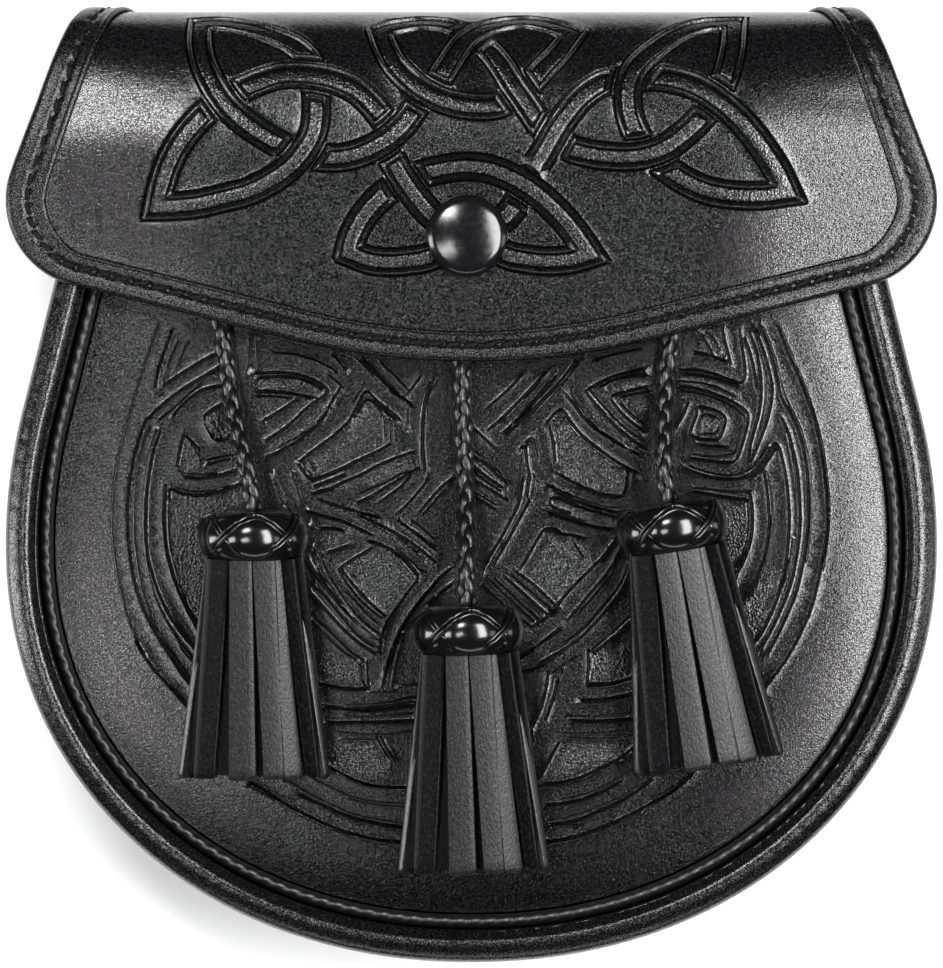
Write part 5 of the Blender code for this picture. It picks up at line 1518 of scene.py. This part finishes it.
def cap_boss(eye):
    """The round boss that shows in one eye of the cast band."""
    turn = math.pi * (2 * eye + 1) / EYES + EYE_TURN
    pick_only()
    bpy.ops.mesh.primitive_uv_sphere_add(segments=32, ring_count=20, radius=1.0, rotation=(0.0, 0.0, turn))
    boss = bpy.context.object
    boss.scale = metres(EYE_HALVES)
    boss.location = metres((EYE_RADIUS * math.cos(turn), EYE_RADIUS * math.sin(turn), EYE_Z - EYE_DROP))
    bpy.ops.object.transform_apply(location=True, rotation=True, scale=True)
    bpy.ops.object.shade_smooth()
    return boss


def tassel_cap(finish):
    """The mesh of the enamelled cap along its own Z, with its mouth towards the skirt."""
    body = turned("tassel_cap", (*CAP_TOP, *CAP_SIDE, *CAP_MOUTH), 80, (0.0, 0.0), finish)
    wires = [cap_wire(apart) for apart in (-WIRE_APART, WIRE_APART)]
    pick_only(body, *wires, *[cap_boss(eye) for eye in range(EYES)])
    bpy.ops.object.join()
    shape = body.data
    shape.materials.clear()
    shape.materials.append(finish)
    bpy.data.objects.remove(body)
    return shape


# The strips that show in front: the left and right edges and the turn to the right at the head, then the same
# at the hem, how far the hem lies below the cap's middle, and how far the strip stands forward of the oval
FRONT_STRIPS = (
    (-9.4, -8.2, -14.0, -14.2, -11.7, -14.0, 48.3, -0.9),
    (-9.1, -4.5, -14.0, -12.0, -7.7, -13.0, 48.2, 0.0),
    (-4.5, 0.15, 6.0, -4.9, 0.8, 6.0, 48.4, 0.5),
    (0.05, 4.7, 8.0, 2.1, 6.5, 10.0, 48.2, 0.4),
    (3.9, 5.7, 18.0, 6.3, 10.0, 20.0, 48.3, 0.2),
    (5.1, 8.2, -12.0, 10.4, 13.1, -16.0, 48.1, -0.9),
    (7.6, 9.7, -12.0, 12.4, 14.7, -16.0, 48.3, -1.6),
)
STRIPS_WITHOUT_PAINTED_SHADE = (2, 3, 4)  # of those, the ones that keep their full sheen; all others are dulled on their faces as painted shade
# Those behind, by their angle round the skirt from its front and their hem's place
BACK_STRIPS = ((108.0, 48.2), (142.0, 48.0), (178.0, 48.3), (214.0, 48.1), (250.0, 48.2))
BACK_WIDTHS = (5.4, 6.6)
STRIP_WALL = 1.6
STRIP_TOP = -3.9
# A strip's section, with a rounder right edge: (across, through its wall)
STRIP_SECTION = (
    (-1, -0.7), (-1, 0.0), (-1, 0.75), (-0.97, 1.0), (-0.5, 1.06), (0, 1.08), (0.5, 1.06), (0.86, 1.0),
    (0.93, 0.9), (0.98, 0.65), (1, 0.3), (1, -0.7), (0.96, -1.0), (0, -1.0), (-0.96, -1.0),
)
# Rings down a strip: (share of its length, how much narrower, how much thinner at the hem)
STRIP_RINGS = (
    *((share, 0.0, 0.0) for share in (0.0, 0.03, 0.08, 0.15, 0.23, 0.32, 0.41, 0.5, 0.6, 0.7, 0.79, 0.87, 0.94)),
    (0.975, 0.0, 0.0), (0.99, 0.12, 0.05), (1.0, 0.4, 0.2),
)
HEAD_OVAL = (8.9, 6.8)
HEM_OVAL = (13.6, 3.8)
# The binding at the skirt's head under the cap: (height, how much larger than the head's oval)
SKIRT_HEAD = ((-3.7, -1.8), (-3.9, -1.0), (-6.6, -0.9), (-8.2, -1.0), (-8.4, -1.8))
# The core inside the skirt: its oval at the head, how that changes to the hem, and what share of it is filled
CORE_HEAD = (8.9, 6.8)
CORE_CHANGE = (4.3, -3.2)
CORE_FILL = (0.8, 0.6)
CORE_TOP = -7.0
CORE_LENGTH = 40.5
CORE_SHARES = (0.0, 0.3, 0.6, 0.9, 1.0)


def between(pair, share):
    return pair[0] + (pair[1] - pair[0]) * share


def oval(half_x, half_y, z, sides):
    turns = [math.tau * i / sides for i in range(sides)]
    return [(half_x * math.cos(turn), half_y * math.sin(turn), z) for turn in turns]


def strip_skin(places, turns, widths, hem):
    """One leather strip: its middle, its turn and its width at the head and the hem, down to a square hem."""
    rings = []
    for share, narrower, thinner in STRIP_RINGS:
        turn = math.radians(between(turns, share))
        way, out = np.array((math.cos(turn), math.sin(turn))), np.array((math.sin(turn), -math.cos(turn)))
        middle = between(np.array(places), share) - out * STRIP_WALL / 2
        reach = between(widths, share) / 2 - narrower
        thick = STRIP_WALL / 2 - thinner
        z = STRIP_TOP - (hem + STRIP_TOP) * share
        rings.append([(*(middle + way * reach * u + out * thick * w), z) for u, w in STRIP_SECTION])
    return swept(rings)


def tassel_skirt():
    """The skirt's skin along its own Z, and how far each of its points is dulled as painted shade; the cut edges
    are not.
    """
    skins = []
    for *ends, hem, forward in FRONT_STRIPS:
        places, turns, widths = [], [], []
        for (left, right, turn), (half_x, half_y), ahead in (
            (ends[:3], HEAD_OVAL, forward / 2),
            (ends[3:], HEM_OVAL, forward),
        ):
            x = (left + right) / 2
            depth = -half_y * math.sqrt(max(1 - min(abs(x) / (half_x + 0.6), 1.0) ** 2, 0.0))
            places.append((x, depth - ahead))
            turns.append(turn)
            widths.append((right - left) / math.cos(math.radians(turn)))
        skins.append(strip_skin(places, turns, widths, hem))
    for around, hem in BACK_STRIPS:
        sine, cosine = math.sin(math.radians(around)), math.cos(math.radians(around))
        places = [(x * sine, -y * cosine) for x, y in (HEAD_OVAL, HEM_OVAL)]
        turns = [math.degrees(math.atan2(y * sine, x * cosine)) for x, y in (HEAD_OVAL, HEM_OVAL)]
        skins.append(strip_skin(places, turns, BACK_WIDTHS, hem))
    # All but the strips named above are dulled on their faces as painted shade, while their cut edges keep the
    # sheen.
    flat = [float(abs(u) < 0.9 and w > 0) for u, w in STRIP_SECTION]
    dulled_as_shade = [np.resize(flat, len(skin[0])) * (k not in STRIPS_WITHOUT_PAINTED_SHADE) for k, skin in enumerate(skins)]
    head = [oval(HEAD_OVAL[0] + grow, HEAD_OVAL[1] + grow, z, 48) for z, grow in SKIRT_HEAD]
    # A core that fills the skirt, so that no gap shows between the strips
    core = []
    for share in CORE_SHARES:
        halves = [(half + change * share) * fill for half, change, fill in zip(CORE_HEAD, CORE_CHANGE, CORE_FILL)]
        core.append(oval(*halves, CORE_TOP - CORE_LENGTH * share, 24))
    fillers = [swept(head), swept(core)]
    # The head band and the core are dulled all over, so the gaps between the strips stay dark as painted shade.
    dulled_as_shade += [np.ones(len(skin[0])) for skin in fillers]
    return together(skins + fillers), np.concatenate(dulled_as_shade)


# The braid: its laces' middles lie this far from its axis, give or take the swing, and round a core
BRAID_RADIUS = 1.2
BRAID_SWING = 0.28
BRAID_SLIP = 0.2
BRAID_TURN = 0.1
CORE_RADIUS = 0.8
LACE_BEND = 0.27  # how far a lace's edges bend in round the cord, for a half width of 1 mm
LACE_SIDES = 10


def braid(route):
    """Six flat laces in a round braid along a route, each over one and under one, round a core."""
    line = smooth_line(route, 0.35)
    way = along_line(line)
    up = np.array((0.0, 0.0, 1.0))
    ups = []
    for direction in way:
        up = up - direction * (up @ direction)
        up /= np.linalg.norm(up)
        ups.append(up)
    ups = np.array(ups)
    sides = np.cross(way, ups)
    turns = math.pi / BRAID_PITCH * lengths_along(line)
    section = [math.tau * i / LACE_SIDES for i in range(LACE_SIDES)]
    skins = []
    for hand in (1, -1):
        for start in np.arange(3) * math.tau / 3 + BRAID_TURN:
            # A lace dwells where it shows as a pad, and slips quickly under the next one.
            shown = hand * np.cos(3 * turns)
            angle = hand * turns - BRAID_SLIP * np.sin(3 * turns) + start
            out = sides * np.cos(angle)[:, None] + ups * np.sin(angle)[:, None]
            middle = line + out * (BRAID_RADIUS + BRAID_SWING * shown)[:, None]
            lace = along_line(middle)
            across = np.cross(out, lace)
            across /= np.linalg.norm(across, axis=1)[:, None]
            face = np.cross(lace, across)
            rings = []
            for t in section:
                # Where it shows it spreads, and where it is under another it is squeezed.
                wide = (math.cos(t) * LACE_WIDTH / 2 * (0.86 + 0.14 * shown))[:, None]
                thick = math.sin(t) * LACE_THICKNESS / 2 - LACE_BEND * wide**2
                rings.append(middle + across * wide + face * thick)
            skins.append(swept(np.stack(rings, axis=1)))
    core = [line + (sides * math.cos(t) + ups * math.sin(t)) * CORE_RADIUS for t in section]
    skins.append(swept(np.stack(core, axis=1)))
    return together(skins), line


def cord_tab(side, route, finish):
    """The plain tab under the flap that holds a cord's upper end."""
    end, after = Vector(route[0]), Vector(route[1])
    up = (end - after).normalized()
    middle = end + up * TAB_REACH
    place = (middle.x, middle.y, PANEL_Z + FIT_GAP + TAB_SIZE[2] / 2)
    tab = leather_block(f"cord_anchor_{side}", TAB_SIZE, place, math.atan2(-up.x, up.y), finish)
    finish_piece(tab, [f"cord_tab_{side}"])


def tassels(finishes):
    cap_shape = tassel_cap(finishes["enamel"])
    first_cap = None
    skirt, dulled_as_shade = tassel_skirt()
    for side, (place, heading, route) in TASSELS.items():
        # The caps are alike, so the others are copies of the first one.
        cap = add_to_scene(first_cap.copy() if first_cap else bpy.data.objects.new("cap", cap_shape))
        first_cap = first_cap or cap
        cap.data = cap_shape.copy()
        cap.data.transform(tassel_frame(place, heading, CAP_DIP))
        cap.name = cap.data.name = f"enamelled_cap_{side}"
        finish_piece(cap, [f"tassel_cap_{side}"])

        matrix = np.array(tassel_frame(place, heading, TASSEL_DIP))
        strips = new_piece(
            f"leather_strips_{side}",
            (skirt[0] @ matrix[:3, :3].T) + matrix[:3, 3] / MM,
            skirt[1],
            finishes["tassel"],
            uv=skirt[2],
            attributes={"dulled_as_shade": dulled_as_shade},
            sharp=35.0,
        )
        finish_piece(strips, [f"tassel_skirt_{side}"])

        (points, faces, uv), line = braid(route)
        cord = new_piece(f"braided_cord_{side}", points, faces, finishes["cord"], uv=uv, sharp=60.0)
        finish_piece(cord, [f"tassel_cord_{side}"])
        cord_tab(side, route, finishes["panel"])
    bpy.data.meshes.remove(cap_shape)


# Finishes. A leather's colours are those of its pores, of its ground and of its highest grain; the lighter flecks
# on the highest grain are grain tone and painted glints both.


def bridle_leather(name, colours, sheen, wrinkle, depth, stipple=0.0, gloss=0.5):
    """Smooth cowhide, coloured through in the drum, waxed and plated: fine pores of 0.28 mm, dull inside, that
    break the highlights up, over flat wrinkles. The pressed lines are painted darker and duller, as painted shade
    in the grooves, and the embossed channels are stippled with a 0.5 mm punch."""
    material, tree, surface = new_finish(name, IOR=1.5)
    place = object_place(tree)
    pores = noise(tree, place, 1000.0 / PORE, 1.0, Roughness=0.6, Distortion=0.5)
    folds = noise(tree, place, 1000.0 / wrinkle, 3.0, Roughness=0.55, Distortion=0.8)
    pressed = painted(tree, "pressed")
    # painted shade: the pressed lines darken the colour and dull the sheen
    pores_with_painted_groove_shade = math_node(tree, "MULTIPLY_ADD", pressed, -0.3, pores)
    shine = ramp(tree, pressed, ((0.1, gloss), (0.9, 0.08)))
    spread = {"Value": pores, "From Min": 0.38, "From Max": 0.62, "To Min": 0.25, "To Max": 1.75}
    waxed = node(tree, "ShaderNodeMapRange", spread).outputs[0]
    punched = node(tree, "ShaderNodeTexVoronoi", {"Vector": place, "Scale": 1000.0 / PUNCH}, feature="F1")
    punched = math_node(tree, "MULTIPLY", punched.outputs["Distance"], painted(tree, "channel"))
    feed(
        tree,
        surface,
        # the lightest stop gives rare flecks on the highest grain: grain tone and painted glints both
        Base_Color=ramp(tree, pores_with_painted_groove_shade, ((0.4, colours[0]), (0.54, colours[1]), (0.7, colours[2]))),
        Roughness=ramp(tree, pores, ((0.35, sheen - 0.05), (0.65, sheen + 0.06))),
        Specular_IOR_Level=math_node(tree, "MULTIPLY", shine, waxed),
        Normal=bump(tree, punched, stipple, bump(tree, folds, depth, bump(tree, pores, depth))),
    )
    return material


def piped_leather(name, colour, sheen):
    """Thin piping leather, overcast with thread: slanted ridges about 1.3 mm apart run round it."""
    material, tree, surface = new_finish(name, IOR=1.5, Base_Color=srgb(colour))
    ridges = slanted_ridges(tree, 1.3, 32.0, Distortion=0.6, Detail=1.0)
    fine = noise(tree, object_place(tree), 1000.0 / 0.4, 3.0)
    feed(
        tree,
        surface,
        Roughness=ramp(tree, fine, ((0.3, sheen - 0.05), (0.7, sheen + 0.08))),
        Normal=bump(tree, ridges, 0.0002, bump(tree, fine, 0.00004)),
    )
    return material


def strip_leather(name, colours, sheen):
    """Soft side leather cut in strips: a satin face with a faint fibrous nap, 0.45 mm fine and drawn out along the
    strip. Where the mask says so, the sheen is cut to a fifth, as painted shade on the strips that hang in shade."""
    material, tree, surface = new_finish(name, IOR=1.5)
    drawn = node(tree, "ShaderNodeMapping", {"Vector": object_place(tree), "Scale": (1.0, 0.5, 1.0)}).outputs[0]
    fibres = noise(tree, drawn, 2200.0, 3.0, Roughness=0.6)
    feed(
        tree,
        surface,
        Base_Color=ramp(tree, fibres, ((0.38, colours[0]), (0.55, colours[1]), (0.7, colours[2]))),
        Roughness=ramp(tree, fibres, ((0.35, sheen - 0.04), (0.65, sheen + 0.05))),
        # painted shade: the masked strips lose most of their sheen
        Specular_IOR_Level=ramp(tree, painted(tree, "dulled_as_shade"), ((0.0, 0.5), (1.0, 0.1))),
        Normal=bump(tree, fibres, 0.00007),
    )
    return material


def black_enamel():
    """Stoved black enamel on a zinc casting: a hard gloss that mirrors the lamps, with a faint flow in it about
    3 mm wide."""
    material, tree, surface = new_finish(
        "stoved black enamel", IOR=1.52, Base_Color=srgb("#070708"), Roughness=0.17
    )
    feed(tree, surface, Normal=bump(tree, noise(tree, object_place(tree), 350.0, 2.0), 0.00004))
    return material


def painted_snap():
    """Black painted brass snap: a semi-gloss paint over pressed metal, uneven in spots of about 1 mm."""
    material, tree, surface = new_finish("black painted brass", IOR=1.5, Base_Color=srgb("#0c0c0e"))
    flow = noise(tree, object_place(tree), 900.0, 3.0)
    feed(tree, surface, Roughness=ramp(tree, flow, ((0.3, 0.13), (0.7, 0.2))), Normal=bump(tree, flow, 0.00001))
    return material


def waxed_thread():
    """Waxed linen thread: its twist shows as slanted ridges 0.6 mm apart, and the wax leaves it dull."""
    material, tree, surface = new_finish(
        "waxed black thread", IOR=1.5, Base_Color=srgb("#040404"), Roughness=0.7, Specular_IOR_Level=0.2
    )
    feed(tree, surface, Normal=bump(tree, slanted_ridges(tree, 0.6, 40.0), 0.00006))
    return material


def lace_leather():
    """Fine kid lace, dyed and polished: nearly smooth, with a soft broad highlight on each crossing and a grain
    of 0.4 mm."""
    material, tree, surface = new_finish("polished kid lace", IOR=1.5)
    fine = noise(tree, uv_place(tree), 1000.0 / 0.4, 3.0)
    feed(
        tree,
        surface,
        Base_Color=ramp(tree, fine, ((0.3, "#040405"), (0.7, "#0a0a0b"))),
        Roughness=ramp(tree, fine, ((0.3, 0.28), (0.7, 0.38))),
        Normal=bump(tree, fine, 0.00004),
    )
    return material


def all_finishes():
    # The third colour of each lights the highest grain in rare flecks: grain tone and painted glints both.
    ground = ("#020202", "#060607", "#202022")
    grained = ("#020202", "#060607", "#1c1c1e")
    dark = ("#020202", "#040405", "#19191b")
    fine, deep = 0.00004, 0.00005
    return {
        "flap": bridle_leather("waxed bridle leather", ground, 0.18, 0.8, fine, stipple=0.00006),
        "panel": bridle_leather("embossed panel leather", dark, 0.18, 0.8, fine, stipple=0.00008, gloss=0.42),
        "binding": bridle_leather("grained binding leather", grained, 0.26, 0.6, deep, gloss=0.34),
        "rim": bridle_leather("crinkled rim leather", grained, 0.22, 1.3, fine),
        "piping": piped_leather("overcast piping leather", "#0c0c0d", 0.38),
        "tassel": strip_leather("satin strip leather", ("#040404", "#08080a", "#1a1a1c"), 0.35),
        "enamel": black_enamel(),
        "snap": painted_snap(),
        "cord": lace_leather(),
        "thread": waxed_thread(),
    }


camera()
studio()
FINISHES = all_finishes()
tassels(FINISHES)
flap_sheet(FINISHES["flap"])
flap_binding(FINISHES["binding"])
binding_stitches(FINISHES["thread"])
body_walls(FINISHES)
front_panel(FINISHES["panel"])
belt_loop("belt_loop_left", -LOOP_X, FINISHES["panel"])
belt_loop("belt_loop_right", LOOP_X, FINISHES["panel"])
snap(FINISHES["snap"])
